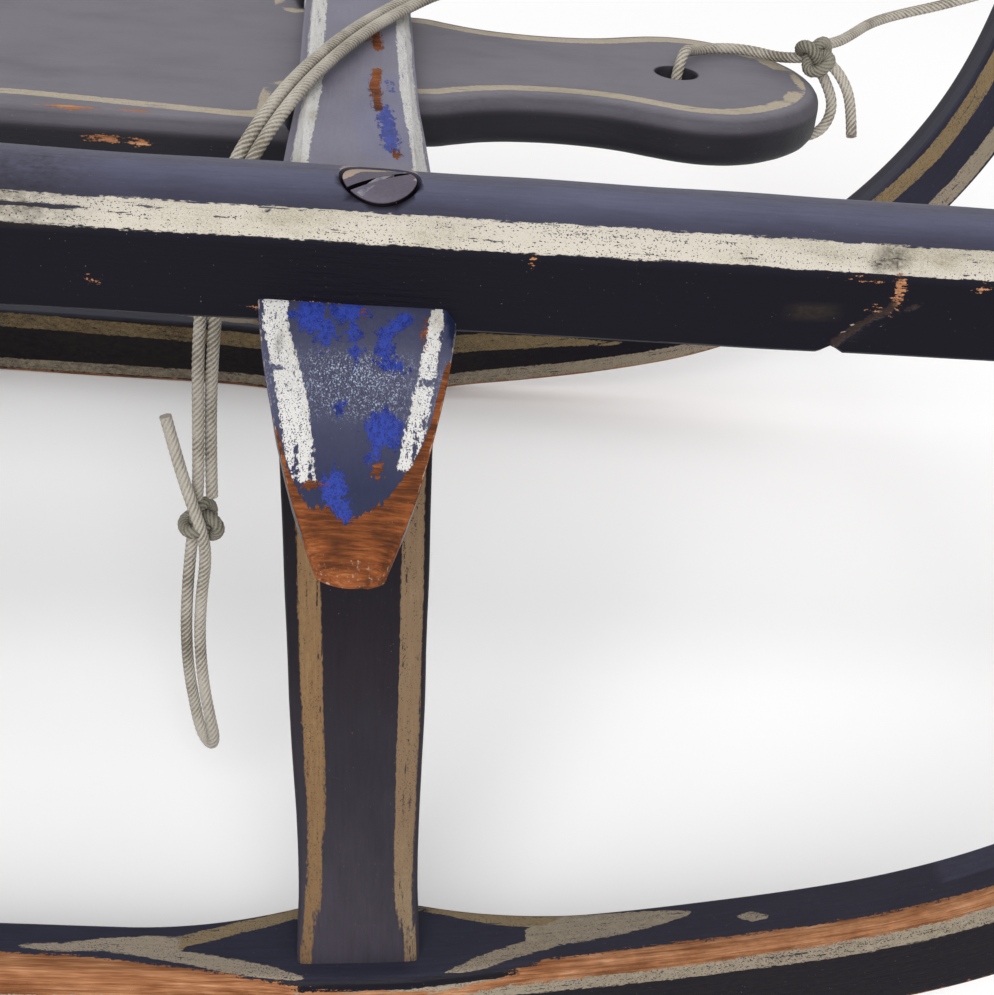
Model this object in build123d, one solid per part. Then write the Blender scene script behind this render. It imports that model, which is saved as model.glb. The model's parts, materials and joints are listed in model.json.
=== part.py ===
from build123d import *
import os
from math import atan2, cos, degrees, pi, radians, sin, sqrt, tan

# A child's bentwood sled. Two runners sweep up in front into bows, six posts stand on
# them, and three cross-beams lie on the posts and run out past the side rails as horns.
# A plank on the centre line passes under the beams and ends in front as a tongue with a
# cord hole. Round tenons, split by wedges, hold post, beam and rail together.
# Frame: +X forwards, +Y to the sled's left, +Z up, millimetres. The origin is at the
# middle of the footprint on the ground.

# Driving dimensions of the whole sled
overall_length = 860.0
track = 318.0               # between the centre planes of the two runners
deck_height = 170.0         # underside of the front beam above the ground
deck_pitch = 0.77           # degrees, the deck rises towards the front
bow_overhang = 248.5        # from the front beam to the foremost point of the bows
tail_overhang = 101.5       # from the rear beam to the runners' tails

# Runner: a straight sole, a long slow bend, then the tight bend of the bow
runner_width = 14.8
runner_height = 24.25
slow_bend_radius = 610.8    # radii of the sole's line
slow_bend_angle = 14.8
bow_bend_radius = 171.3
bow_over_angle = 17.0       # how far the bow leans back past upright
runner_tail_radius = 14.0
bow_tip_radius = 9.0

# Pads that widen the runner under each post
pad_outer = 9.3             # from the runner's centre plane, away from the sled
pad_inner = 13.8            # from the runner's centre plane, towards the sled
pad_flat_length = 26.0
pad_reach = 50.0            # from the post's centre to where the pad has faded out
pad_sweep = 0.28            # how far the concave sweep hangs below its chord, as a share
seat_depth = 1.2            # the post's foot is let into the pad

# Posts
post_thickness = 17.0
post_foot_width = 27.0
# height as a share of the post, and the width there
post_profile = [
    (0.0, post_foot_width),
    (0.16, 24.5),
    (0.33, 25.3),
    (0.5, 26.4),
    (0.7, 27.0),
    (1.0, 27.4),
]
post_overrun = 12.0         # the leg is made longer by this and then cut at both ends
head_lead = 0.3             # the head's centre in front of the beam's
foot_lead = 12.3            # and the foot's, so that the post leans
foot_tuck = 4.7             # the foot stands this far further in than the head
post_arris = 1.6
foot_tenon_radius = 5.0
foot_tenon_length = 13.0

# Round through tenon on the head of each post, and its wedge
tenon_radius = 6.4
tenon_lead = 2.5            # the tenon's centre in front of the beam's
tenon_recess = 0.5
tenon_lean = 1.2            # outward lean of the tenon over its height
kerf_width = 1.5
kerf_depth = 17.0
wedge_thickness = 1.2
wedge_length = 14.0
wedge_margin = 0.7          # the wedge is narrower than the tenon by this at each end
wedge_turn = 35.0           # degrees, aslant to the rail
joint_clearance = 0.15

# Cross-beams
beam_depth = 14.0
beam_waist = 28.0
beam_head = 33.0
beam_undercut = 9.5         # degrees, the sides lean in towards the underside
beam_flat = 22.5            # width of the flat between the two stopped bevels
beam_bevel_drop = 3.7
beam_shoulder = 84.0        # length over which the waist swells to the head
shoulder_swell = 0.85       # share of the swelling that is done half way along it
bevel_stop = 3.0            # the bevels end this far short of the rails
horn_reach = 48.0           # past the rail's outer face
horn_tip_width = 13.0       # on top, where the nose begins
horn_nose = 2.5
horn_tip_thickness = 2.0
horn_droop = 10.0           # the tip's underside below the beam's
horn_mid_width = 25.2
horn_mid_drop = 10.4        # of the upper side, half way out
horn_mid_rise = 6.5         # of the underside above its tip, half way out

# Rails
rail_width = 26.0
rail_wall = 15.2            # height of the upright side
rail_crown = 7.3            # rise of the dome above the upright side
rail_lap = 4.5              # the beam is let this far into the rail
rail_tail_overhang = 73.0   # behind the rear beam's centre
rail_tail_radius = 11.0
rail_arris = 1.5
bow_clearance = 0.3

# Deck plank and its tongue
plank_thickness = 12.5
plank_let_in = 5.0          # the beams lie over the plank and are notched by this
plank_width = 121.0
plank_arris = 4.0
plank_lower_arris = 3.5
plank_tail_overhang = 88.0  # behind the rear beam's centre
plank_tail_radius = 22.0
tongue_root_width = 72.0
# distance from the beam to the tip as a share of the tongue, and the tongue's width there
tongue_profile = [
    (0.0515, 70.6),
    (0.1124, 64.6),
    (0.1779, 59.0),
    (0.2715, 55.4),
    (0.3792, 55.2),
    (0.4728, 58.4),
    (0.5478, 64.4),
    (0.6227, 69.6),
    (0.6976, 70.8),
    (0.7725, 67.4),
    (0.8474, 58.8),
    (0.9129, 46.8),
    (0.9644, 31.0),
    (0.9906, 16.0),
]
tongue_reach = 118.3        # from the front beam's centre to the tip
cord_hole_radius = 5.2
cord_hole_inset = 37.0      # from the tip to the hole's centre
plank_clearance = 0.2
deck_peg_radius = 3.0
deck_peg_reach = 8.0        # how deep a peg goes into the plank
deck_peg_inset = 15.0       # from the edge of the plank or tongue

# Rung between the bows
rung_radius = 10.5
rung_end_radius = 8.0
rung_angle = 12.2           # place on the bow, past upright
rail_tenon_radius = 6.4
rail_tenon_root = 8.0       # it starts this far inside the rail's end

cut_overrun = 5.0           # cutters stand this far past what they cut
face_tolerance = 0.01

# Pull cord: a thin limp cord, tied through the tongue, wound on the rung and carried back
# over the front beam as two strands, which hang down and end in a knotted hand loop
cord_diameter = 2.8
turns_width = 18.0          # of the turns wound on the rung, along the rung
turns_clearance = 0.3
knots = {
    "tongue": ((298.8, 3.0, 182.2), 5.2),
    "hand": ((152.2, -91.0, 90.8), 6.0),
}
# Routes as lists of x, y, z, each from its first point to its last
cord_routes = {
    # a short tail, over the tongue to the hole, and back below it to the knot
    "tongue": [
        (309.3, -7.0, 165.5),
        (309.2, -3.0, 170.5),
        (307.6, -0.6, 176.0),
        (303.4, 1.0, 181.0),
        (299.0, 3.5, 182.4),
        (295.0, 7.0, 180.6),
        (291.0, 12.5, 178.8),
        (285.5, 17.5, 178.5),
        (279.0, 18.3, 178.4),
        (272.5, 15.6, 178.4),
        (268.0, 10.4, 179.0),
        (264.9, 4.6, 180.8),
        (263.2, 1.2, 176.0),
        (262.9, 0.2, 170.0),
        (263.1, 0.0, 165.2),
        (267.0, 0.0, 161.0),
        (274.0, 0.2, 160.8),
        (296.0, 0.5, 161.3),
        (303.2, 1.4, 162.8),
        (305.9, 2.8, 168.0),
        (304.9, 4.2, 173.2),
        (301.8, 4.6, 177.4),
    ],
    # from the knot on the tongue up to the turns on the rung
    "lead": [
        (300.4, 5.6, 184.8),
        (305.5, 10.0, 184.6),
        (311.5, 18.0, 185.0),
        (319.0, 30.0, 185.1),
        (328.5, 39.0, 185.7),
        (346.0, 43.5, 189.5),
        (372.0, 53.0, 196.5),
        (396.0, 61.5, 201.5),
        (416.5, 65.2, 207.6),
    ],
    # from the rung over the beam, down through the gap, round the loop and out as a tail
    "strand_long": [
        (416.5, 72.0, 207.6),
        (392.0, 72.5, 199.5),
        (350.0, 72.0, 189.0),
        (305.0, 68.0, 183.5),
        (262.0, 59.0, 181.5),
        (226.0, 42.0, 182.8),
        (202.0, 20.0, 187.4),
        (190.3, -1.0, 187.2),
        (179.2, -25.6, 187.0),
        (168.5, -60.0, 187.2),
        (161.5, -80.0, 183.4),
        (155.0, -90.5, 174.0),
        (151.5, -92.0, 158.0),
        (150.0, -91.5, 136.0),
        (150.6, -91.0, 113.0),
        (150.9, -90.3, 97.0),
        (149.6, -90.6, 84.0),
        (148.9, -91.0, 70.0),
        (148.9, -90.6, 58.0),
        (149.7, -89.0, 46.0),
        (151.2, -87.9, 36.0),
        (152.2, -88.3, 31.0),
        (153.6, -89.1, 27.0),
        (156.0, -92.8, 27.0),
        (156.5, -94.3, 31.0),
        (155.5, -94.6, 36.0),
        (153.4, -93.2, 46.0),
        (152.1, -91.8, 58.0),
        (152.2, -91.4, 70.0),
        (153.2, -92.6, 81.0),
        (152.4, -94.2, 89.0),
        (149.6, -94.0, 97.0),
        (146.6, -93.0, 106.0),
        (143.4, -91.8, 117.5),
    ],
    # beside the long strand, down to the knot above the loop
    "strand_short": [
        (416.5, 68.8, 207.6),
        (392.0, 69.3, 199.5),
        (350.0, 68.8, 189.0),
        (305.4, 64.8, 183.5),
        (262.8, 55.9, 181.5),
        (227.6, 39.2, 182.8),
        (204.6, 18.1, 187.4),
        (193.3, -2.2, 187.2),
        (182.2, -26.8, 187.0),
        (171.6, -61.3, 187.2),
        (164.6, -81.5, 183.6),
        (158.0, -91.8, 174.2),
        (154.7, -92.8, 158.0),
        (153.2, -91.5, 136.0),
        (153.0, -88.6, 113.0),
        (153.9, -89.0, 96.0),
    ],
}

half_length = overall_length / 2
half_track = track / 2
front_beam_x = half_length - bow_overhang
beam_spacing = (overall_length - bow_overhang - tail_overhang) / 2
inner_radius = bow_bend_radius - runner_height
bend_x = half_length - bow_bend_radius
slow_start_x = (
    bend_x
    + bow_bend_radius * sin(radians(slow_bend_angle))
    - slow_bend_radius * sin(radians(slow_bend_angle))
)
bend_z = slow_bend_radius * (1 - cos(radians(slow_bend_angle))) + bow_bend_radius * cos(
    radians(slow_bend_angle)
)
beam_top = deck_height + beam_depth
plank_top = deck_height + plank_let_in
rail_bottom = beam_top - rail_lap
rail_top = rail_bottom + rail_wall + rail_crown
horn_tip_y = half_track + rail_width / 2 + horn_reach

sides = {"right": -1, "left": 1}
# name, centre of the beam, width of plank that passes under it
beams = [
    ("front", front_beam_x, tongue_root_width),
    ("middle", front_beam_x - beam_spacing, plank_width),
    ("rear", front_beam_x - 2 * beam_spacing, plank_width),
]
rear_beam_x = beams[-1][1]

deck_hinge = Pos(front_beam_x, 0, deck_height)
deck = deck_hinge * Rot(0, -deck_pitch, 0) * deck_hinge.inverse()


def deck_point(x, y, z):
    """Ground-frame place of a point given in the level frame of the deck."""
    return (deck * Pos(x, y, z)).position


def bend_point(radius, angle):
    """Point in the XZ plane on the tight bend, angle in degrees past upright."""
    return (bend_x + radius * cos(radians(angle)), bend_z + radius * sin(radians(angle)))


def sole_angle(x):
    """Slope of the runner's sole at x, in degrees, on the flat or the slow bend."""
    if x <= slow_start_x:
        return 0.0
    return degrees(atan2(x - slow_start_x, sqrt(slow_bend_radius**2 - (x - slow_start_x) ** 2)))


def runner_top_point(x):
    """Point on the runner's upper line where the normal through the sole at x meets it."""
    angle = radians(sole_angle(x))
    sole_z = slow_bend_radius * (1 - cos(angle))
    return (x - runner_height * sin(angle), sole_z + runner_height * cos(angle))


def foot_location(x, side):
    """Frame of a post's foot: its origin on the pad's top, its Z square to the runner."""
    top_x, top_z = runner_top_point(x)
    foot_y = side * (half_track - foot_tuck)
    return Location((top_x, foot_y, top_z), (0, -sole_angle(x), 0))


def foot_x(beam_x):
    """Place along the sole of the post that carries the beam at beam_x."""
    return beam_x + foot_lead


def runner_side_face():
    """Outline of the runner seen from the side, drawn in the XZ plane."""
    slow = radians(slow_bend_angle)
    tip = bow_over_angle
    inner_slow = slow_bend_radius - runner_height
    sole_end = (slow_start_x + slow_bend_radius * sin(slow), slow_bend_radius * (1 - cos(slow)))
    sole_mid = (
        slow_start_x + slow_bend_radius * sin(slow / 2),
        slow_bend_radius * (1 - cos(slow / 2)),
    )
    top_mid = (
        slow_start_x + inner_slow * sin(slow / 2),
        slow_bend_radius - inner_slow * cos(slow / 2),
    )
    top_end = (
        slow_start_x + inner_slow * sin(slow),
        slow_bend_radius - inner_slow * cos(slow),
    )
    bow_mid_angle = (slow_bend_angle - 90 + tip) / 2
    with BuildSketch(Plane.XZ) as face:
        with BuildLine():
            Line((-half_length, runner_height), (-half_length, 0))
            Line((-half_length, 0), (slow_start_x, 0))
            ThreePointArc((slow_start_x, 0), sole_mid, sole_end)
            ThreePointArc(
                sole_end,
                bend_point(bow_bend_radius, bow_mid_angle),
                bend_point(bow_bend_radius, tip),
            )
            Line(bend_point(bow_bend_radius, tip), bend_point(inner_radius, tip))
            ThreePointArc(
                bend_point(inner_radius, tip),
                bend_point(inner_radius, bow_mid_angle),
                top_end,
            )
            ThreePointArc(top_end, top_mid, (slow_start_x, runner_height))
            Line((slow_start_x, runner_height), (-half_length, runner_height))
        make_face()
        tail = face.vertices().group_by(Axis.X)[0]
        fillet(tail.sort_by(Axis.Y)[0], runner_tail_radius)
        fillet(face.vertices().sort_by(Axis.Y)[-2:], bow_tip_radius)
    return face.sketch


def pad_face(x):
    """Plan of one pad, with side 1 towards the outside of the sled."""
    half_flat = pad_flat_length / 2
    half_runner = runner_width / 2
    with BuildSketch() as face:
        with BuildLine():
            for sign, reach in ((1, pad_outer), (-1, pad_inner)):
                rise = reach - half_runner
                mid = sign * (half_runner + pad_sweep * rise)
                middle_x = (half_flat + pad_reach) / 2
                Line((x - half_flat, sign * reach), (x + half_flat, sign * reach))
                ThreePointArc(
                    (x + half_flat, sign * reach),
                    (x + middle_x, mid),
                    (x + pad_reach, sign * half_runner),
                )
                ThreePointArc(
                    (x - half_flat, sign * reach),
                    (x - middle_x, mid),
                    (x - pad_reach, sign * half_runner),
                )
            Line((x + pad_reach, half_runner), (x + pad_reach, -half_runner))
            Line((x - pad_reach, half_runner), (x - pad_reach, -half_runner))
        make_face()
    return face.sketch


def make_runner(side):
    """One runner with its bow and pads, cut for the post feet, the rail and the rung."""
    profile = extrude(runner_side_face(), amount=pad_reach, both=True)
    height = 2 * bend_z
    plan = Box(overall_length, runner_width, height, align=(Align.CENTER, Align.CENTER, Align.MIN))
    for _, beam_x, _ in beams:
        centre = runner_top_point(foot_x(beam_x))[0]
        plan += extrude(pad_face(centre), amount=runner_height * 2)
    body = profile & plan
    if side < 0:
        body = mirror(body, about=Plane.XZ)
    body = Pos(0, side * half_track, 0) * body
    for _, beam_x, _ in beams:
        body -= foot_socket(beam_x, side)
    body -= rail_tenon(side, joint_clearance)
    body -= rung_tenon(joint_clearance)
    return body


def foot_socket(beam_x, side):
    """What the runner loses to a post: a shallow seat and the hole for its tenon."""
    place = foot_location(foot_x(beam_x), side)
    seat = Box(
        post_foot_width + 2 * joint_clearance,
        post_thickness + 2 * joint_clearance,
        2 * runner_height,
        align=(Align.CENTER, Align.CENTER, Align.MIN),
    )
    hole = Cylinder(
        foot_tenon_radius + joint_clearance,
        foot_tenon_length + joint_clearance,
        align=(Align.CENTER, Align.CENTER, Align.MAX),
    )
    return place * Pos(0, 0, -seat_depth) * (seat + hole)


def post_axis(beam_x, side):
    """Foot and head of a post's centre line, in the ground frame."""
    place = foot_location(foot_x(beam_x), side)
    foot = (place * Pos(0, 0, -seat_depth)).position
    head = deck_point(beam_x + head_lead, side * half_track, deck_height)
    return foot, head


def tenon_cylinder(beam_x, side, extra, low, high):
    """The round tenon's line through beam and rail, with a radius allowance."""
    slope = tenon_lean / (rail_top - deck_height)
    start, end = [
        deck_point(beam_x + tenon_lead, side * (half_track + slope * (z - deck_height)), z)
        for z in (low, high)
    ]
    axis = end - start
    plane = Plane(origin=start, z_dir=axis.normalized())
    return extrude(plane * Circle(tenon_radius + extra), amount=axis.length)


def make_post(beam_x, side):
    """One post: a waisted leg with a round tenon at each end, the upper one slit."""
    foot, head = post_axis(beam_x, side)
    length = (head - foot).length
    plane = Plane(origin=foot, x_dir=(1, 0, 0), z_dir=(head - foot).normalized())
    with BuildSketch(Plane.XZ) as outline:
        with BuildLine():
            low_z, high_z = -post_overrun, length + post_overrun
            ends = []
            for sign in (1, -1):
                curve = [(sign * width / 2, share * length) for share, width in post_profile]
                Spline(*curve)
                low = (curve[0][0], low_z)
                high = (curve[-1][0], high_z)
                Line(low, curve[0])
                Line(curve[-1], high)
                ends.append((low, high))
            Line(ends[0][0], ends[1][0])
            Line(ends[0][1], ends[1][1])
        make_face()
    leg = extrude(outline.sketch, amount=post_thickness / 2, both=True)
    arrises = [
        edge
        for edge in leg.edges()
        if abs(edge.center().Y) > post_thickness / 2 - face_tolerance
        and edge.bounding_box().size.Z > post_overrun / 2
    ]
    leg = fillet(arrises, post_arris)
    leg = plane.location * leg
    block = 4 * track
    above = deck * Pos(beam_x, 0, deck_height) * Box(
        block, block, block, align=(Align.CENTER, Align.CENTER, Align.MIN)
    )
    below = foot_location(foot_x(beam_x), side) * Pos(0, 0, -seat_depth) * Box(
        block, block, block, align=(Align.CENTER, Align.CENTER, Align.MAX)
    )
    leg = leg - above - below
    stub = foot_location(foot_x(beam_x), side) * Pos(0, 0, -seat_depth) * Cylinder(
        foot_tenon_radius, foot_tenon_length, align=(Align.CENTER, Align.CENTER, Align.MAX)
    )
    tenon = tenon_cylinder(beam_x, side, 0, deck_height, rail_top)
    tenon &= deck * tenon_trim(side)
    slot = wedge_place(beam_x, side) * Box(
        kerf_width,
        3 * tenon_radius,
        2 * kerf_depth,
    )
    return leg + stub + (tenon - slot)


def tenon_trim(side):
    """Space under the rail's dome, lowered by the recess, that ends the tenon."""
    return Pos(0, side * half_track, -tenon_recess) * extrude(
        rail_section(), amount=overall_length, both=True
    ) + Pos(0, side * half_track, 0) * Box(
        2 * overall_length, rail_width, rail_bottom, align=(Align.CENTER, Align.CENTER, Align.MIN)
    )


def wedge_place(beam_x, side):
    """Frame at the top of a tenon, turned so that the wedge crosses it aslant."""
    top = rail_top - tenon_recess
    place = deck * Pos(beam_x + tenon_lead, side * (half_track + tenon_lean), top)
    return place * Rot(0, 0, side * wedge_turn)


def make_wedge(beam_x, side):
    """The wedge that was driven into the slit of a tenon."""
    blade = Box(
        wedge_thickness,
        2 * (tenon_radius - wedge_margin),
        2 * wedge_length,
    )
    return (wedge_place(beam_x, side) * blade) & (deck * tenon_trim(side))


def rail_section():
    """Loaf-shaped section of a rail in the YZ plane, centred on Y."""
    half = rail_width / 2
    wall_top = rail_bottom + rail_wall
    with BuildSketch(Plane.YZ) as section:
        with BuildLine():
            Line((-half, rail_bottom), (half, rail_bottom))
            Line((half, rail_bottom), (half, wall_top))
            ThreePointArc((half, wall_top), (0, rail_top), (-half, wall_top))
            Line((-half, wall_top), (-half, rail_bottom))
        make_face()
        fillet(section.vertices().group_by(Axis.Y)[0], rail_arris)
    return section.sketch


def make_rail(side):
    """One rail, lapped over the beams and tenoned into the bow in front."""
    tail_x = rear_beam_x - rail_tail_overhang
    bar = Pos(0, side * half_track, 0) * extrude(rail_section(), amount=overall_length, both=True)
    with BuildSketch() as plan:
        Rectangle(half_length - tail_x, rail_width, align=(Align.MIN, Align.CENTER))
        fillet(plan.vertices().group_by(Axis.X)[0], rail_tail_radius)
    plan_solid = Pos(tail_x, side * half_track, 0) * extrude(plan.sketch, amount=2 * rail_top)
    bar = deck * (bar & plan_solid)
    reach = Cylinder(inner_radius - bow_clearance, 2 * track, rotation=(90, 0, 0))
    ahead = Pos(bend_x, 0, 0) * Box(
        overall_length, 2 * track, 2 * track, align=(Align.MIN, Align.CENTER, Align.MIN)
    )
    bar -= ahead - Pos(bend_x, 0, bend_z) * reach
    for _, beam_x, _ in beams:
        notch = Pos(beam_x, side * half_track, beam_top + plank_clearance) * Box(
            beam_head + 2 * joint_clearance,
            2 * rail_width,
            2 * beam_depth,
            align=(Align.CENTER, Align.CENTER, Align.MAX),
        )
        bar -= deck * notch
        bar -= tenon_cylinder(beam_x, side, joint_clearance, deck_height, rail_top + cut_overrun)
    return bar + rail_tenon(side, 0)


def rail_tenon(side, extra):
    """Round tenon on the front end of a rail, flush with the outer face of the bow."""
    centre = rail_bottom + (rail_wall + rail_crown) / 2
    start = deck_point(bend_x + inner_radius - rail_tenon_root, side * half_track, centre)
    end = deck_point(half_length + runner_height, side * half_track, centre)
    axis = end - start
    plane = Plane(origin=start, z_dir=axis.normalized())
    rod = extrude(plane * Circle(rail_tenon_radius + extra), amount=axis.length)
    if extra:
        return rod
    flush = Pos(bend_x, 0, bend_z) * Cylinder(bow_bend_radius, 2 * track, rotation=(90, 0, 0))
    return rod & flush


def horn_plan_half(top_half, drop):
    """Half width in the plane of the beam's top, so that the undercut leaves top_half lower down."""
    return top_half + drop * tan(radians(beam_undercut))


def beam_plan_face():
    """Plan of a beam, centred, with its swollen heads and tapered horns."""
    waist = beam_waist / 2
    head = beam_head / 2
    swell_end = half_track - rail_width / 2
    swell_start = swell_end - beam_shoulder
    root = half_track + rail_width / 2
    mid_y = root + horn_reach / 2
    middle = horn_plan_half(horn_mid_width / 2, horn_mid_drop)
    tip_drop = beam_depth + horn_droop - horn_tip_thickness
    tip = horn_plan_half(horn_tip_width / 2, tip_drop)
    nose_y = horn_tip_y + tip_drop * tan(radians(beam_undercut))
    swell_x = waist + (head - waist) * shoulder_swell
    with BuildSketch() as face:
        with BuildLine():
            for sx in (1, -1):
                for sy in (1, -1):
                    Line((sx * waist, 0), (sx * waist, sy * swell_start))
                    ThreePointArc(
                        (sx * waist, sy * swell_start),
                        (sx * swell_x, sy * (swell_start + swell_end) / 2),
                        (sx * head, sy * swell_end),
                    )
                    Line((sx * head, sy * swell_end), (sx * head, sy * root))
                    ThreePointArc(
                        (sx * head, sy * root),
                        (sx * middle, sy * mid_y),
                        (sx * tip, sy * (nose_y - horn_nose)),
                    )
            for sy in (1, -1):
                ThreePointArc(
                    (-tip, sy * (nose_y - horn_nose)),
                    (0, sy * nose_y),
                    (tip, sy * (nose_y - horn_nose)),
                )
        make_face()
    return face.sketch


def beam_side_face():
    """Outline of a beam seen from the front: flat, with thin horns that droop."""
    root = half_track + rail_width / 2
    mid = (root + horn_tip_y) / 2
    tip_bottom = deck_height - horn_droop
    tip_top = tip_bottom + horn_tip_thickness
    with BuildSketch(Plane.YZ) as face:
        with BuildLine():
            Line((-root, deck_height), (root, deck_height))
            Line((-root, beam_top), (root, beam_top))
            for sy in (1, -1):
                ThreePointArc(
                    (sy * root, beam_top),
                    (sy * mid, beam_top - horn_mid_drop),
                    (sy * horn_tip_y, tip_top),
                )
                ThreePointArc(
                    (sy * root, deck_height),
                    (sy * mid, tip_bottom + horn_mid_rise),
                    (sy * horn_tip_y, tip_bottom),
                )
                Line((sy * horn_tip_y, tip_top), (sy * horn_tip_y, tip_bottom))
        make_face()
    return face.sketch


def bevel_cut(sign):
    """Wedge taken off one upper edge of a beam between the rails."""
    flat = beam_flat / 2
    waist = beam_waist / 2
    slope = beam_bevel_drop / (waist - flat)
    far = flat + beam_waist / 2
    with BuildSketch(Plane.XZ) as cut:
        with BuildLine():
            Polyline(
                (sign * flat, beam_top),
                (sign * far, beam_top - slope * (far - flat)),
                (sign * far, beam_top + cut_overrun),
                (sign * flat, beam_top + cut_overrun),
                close=True,
            )
        make_face()
    reach = half_track - rail_width / 2 - bevel_stop
    return extrude(cut.sketch, amount=reach, both=True)


def make_beam(beam_x, passing_width):
    """One cross-beam with its horns, notched below for the plank."""
    depth = beam_depth + horn_droop + cut_overrun
    plan = extrude(
        Plane(origin=(0, 0, beam_top), z_dir=(0, 0, -1)) * beam_plan_face(),
        amount=depth,
        taper=beam_undercut,
    )
    body = plan & extrude(beam_side_face(), amount=beam_head, both=True)
    for sign in (1, -1):
        body -= bevel_cut(sign)
    body -= Pos(0, 0, plank_top + plank_clearance) * Box(
        2 * beam_head,
        passing_width + 2 * plank_clearance,
        2 * plank_thickness,
        align=(Align.CENTER, Align.CENTER, Align.MAX),
    )
    body = deck * Pos(beam_x, 0, 0) * body
    for side in sides.values():
        body -= tenon_cylinder(
            beam_x, side, joint_clearance, deck_height - cut_overrun, beam_top + cut_overrun
        )
    for side in sides.values():
        body -= deck_peg(beam_x, passing_width, side, joint_clearance)
    return body


def deck_peg(beam_x, passing_width, side, extra):
    """Peg driven down through a beam into the plank, flush with the beam's top."""
    peg_y = side * (passing_width / 2 - deck_peg_inset)
    length = beam_top - plank_top + deck_peg_reach
    return deck * Pos(beam_x, peg_y, beam_top) * Cylinder(
        deck_peg_radius + extra, length, align=(Align.CENTER, Align.CENTER, Align.MAX)
    )


def plank_plan_face():
    """Plan of the deck plank and its tongue."""
    shoulder_x = front_beam_x - beam_waist / 2 - plank_clearance
    tail_x = rear_beam_x - plank_tail_overhang
    half = plank_width / 2
    root = tongue_root_width / 2
    tongue_start = front_beam_x + beam_waist / 2
    tongue_length = tongue_reach - beam_waist / 2
    edge = [(tongue_start + share * tongue_length, width / 2) for share, width in tongue_profile]
    tip = [(front_beam_x + tongue_reach, 0)]
    far_edge = [(x, -y) for x, y in reversed(edge)]
    with BuildSketch() as face:
        with BuildLine():
            Line((tail_x, -half), (tail_x, half))
            for sy in (1, -1):
                Line((tail_x, sy * half), (shoulder_x, sy * half))
                Line((shoulder_x, sy * half), (shoulder_x, sy * root))
                Line((shoulder_x, sy * root), (tongue_start, sy * root))
            Spline((tongue_start, root), *edge, *tip, *far_edge, (tongue_start, -root))
        make_face()
        fillet(face.vertices().group_by(Axis.X)[0], plank_tail_radius)
    return face.sketch


def plank_rim(body, z):
    """Edges of the plank's outline at height z that no beam covers."""
    return [
        edge
        for edge in body.edges()
        if abs(edge.center().Z - z) < face_tolerance
        and abs(edge.center().X - front_beam_x) > beam_waist / 2 + 2 * plank_clearance
    ]


def make_plank():
    """The deck plank with rounded arrises, bored for the pegs and the cord."""
    bottom = plank_top - plank_thickness
    body = Pos(0, 0, bottom) * extrude(plank_plan_face(), amount=plank_thickness)
    body = fillet(plank_rim(body, plank_top), plank_arris)
    body = fillet(plank_rim(body, bottom), plank_lower_arris)
    body -= Pos(front_beam_x + tongue_reach - cord_hole_inset, 0, bottom) * Cylinder(
        cord_hole_radius, 3 * plank_thickness
    )
    body = deck * body
    for _, beam_x, passing_width in beams:
        for side in sides.values():
            body -= deck_peg(beam_x, passing_width, side, joint_clearance)
    return body


def rung_centre():
    """Place of the rung's axis in the XZ plane, half way through the bow."""
    return bend_point((bow_bend_radius + inner_radius) / 2, rung_angle)


def rung_tenon(extra):
    """The rung's round ends, as long as the sled is wide over the bows."""
    x, z = rung_centre()
    length = track + runner_width
    return Pos(x, 0, z) * Cylinder(tenon_radius + extra, length + 2 * extra, rotation=(90, 0, 0))


def make_rung():
    """The rung between the bows, thickest in the middle."""
    x, z = rung_centre()
    shoulder = half_track - runner_width / 2 - bow_clearance
    with BuildSketch(Plane.XY) as profile:
        with BuildLine():
            Line((0, -shoulder), (rung_end_radius, -shoulder))
            ThreePointArc((rung_end_radius, -shoulder), (rung_radius, 0), (rung_end_radius, shoulder))
            Line((rung_end_radius, shoulder), (0, shoulder))
            Line((0, shoulder), (0, -shoulder))
        make_face()
    body = Pos(x, 0, z) * revolve(profile.sketch, axis=Axis.Y)
    return body + rung_tenon(0)


def corner_radii(points):
    """Radius of the arc at each inner point of a route, from its runs and turn."""
    runs = [Vector(*b) - Vector(*a) for a, b in zip(points, points[1:])]
    radii = []
    for before, after in zip(runs, runs[1:]):
        half_turn = radians(before.get_angle(after) / 2)
        radii.append(0.45 * min(before.length, after.length) / tan(half_turn))
    return radii


def make_cord(name):
    """One length of cord along its route, with its radii and volume printed."""
    points = cord_routes[name]
    radii = corner_radii(points)
    path = FilletPolyline(*points, radius=radii)
    start = Plane(origin=path @ 0, z_dir=path % 0)
    tube = sweep(start * Circle(cord_diameter / 2), path=path)
    section = pi * cord_diameter**2 / 4
    print("cord", name, "radii", [round(radius, 1) for radius in radii])
    print("length", round(path.length, 1), "volume over section times length",
          round(tube.volume / (section * path.length), 4))
    return tube


def make_knot(name):
    """The outer shape of a knot."""
    centre, radius = knots[name]
    return Pos(*centre) * Sphere(radius)


def make_rung_turns():
    """The cord's turns on the rung, as one collar."""
    x, z = rung_centre()
    y = (cord_routes["lead"][-1][1] + cord_routes["strand_long"][0][1]) / 2
    inner = rung_radius + turns_clearance
    collar = Cylinder(inner + cord_diameter, turns_width) - Cylinder(inner, turns_width)
    return Pos(x, y, z) * Rot(90, 0, 0) * collar


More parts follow.
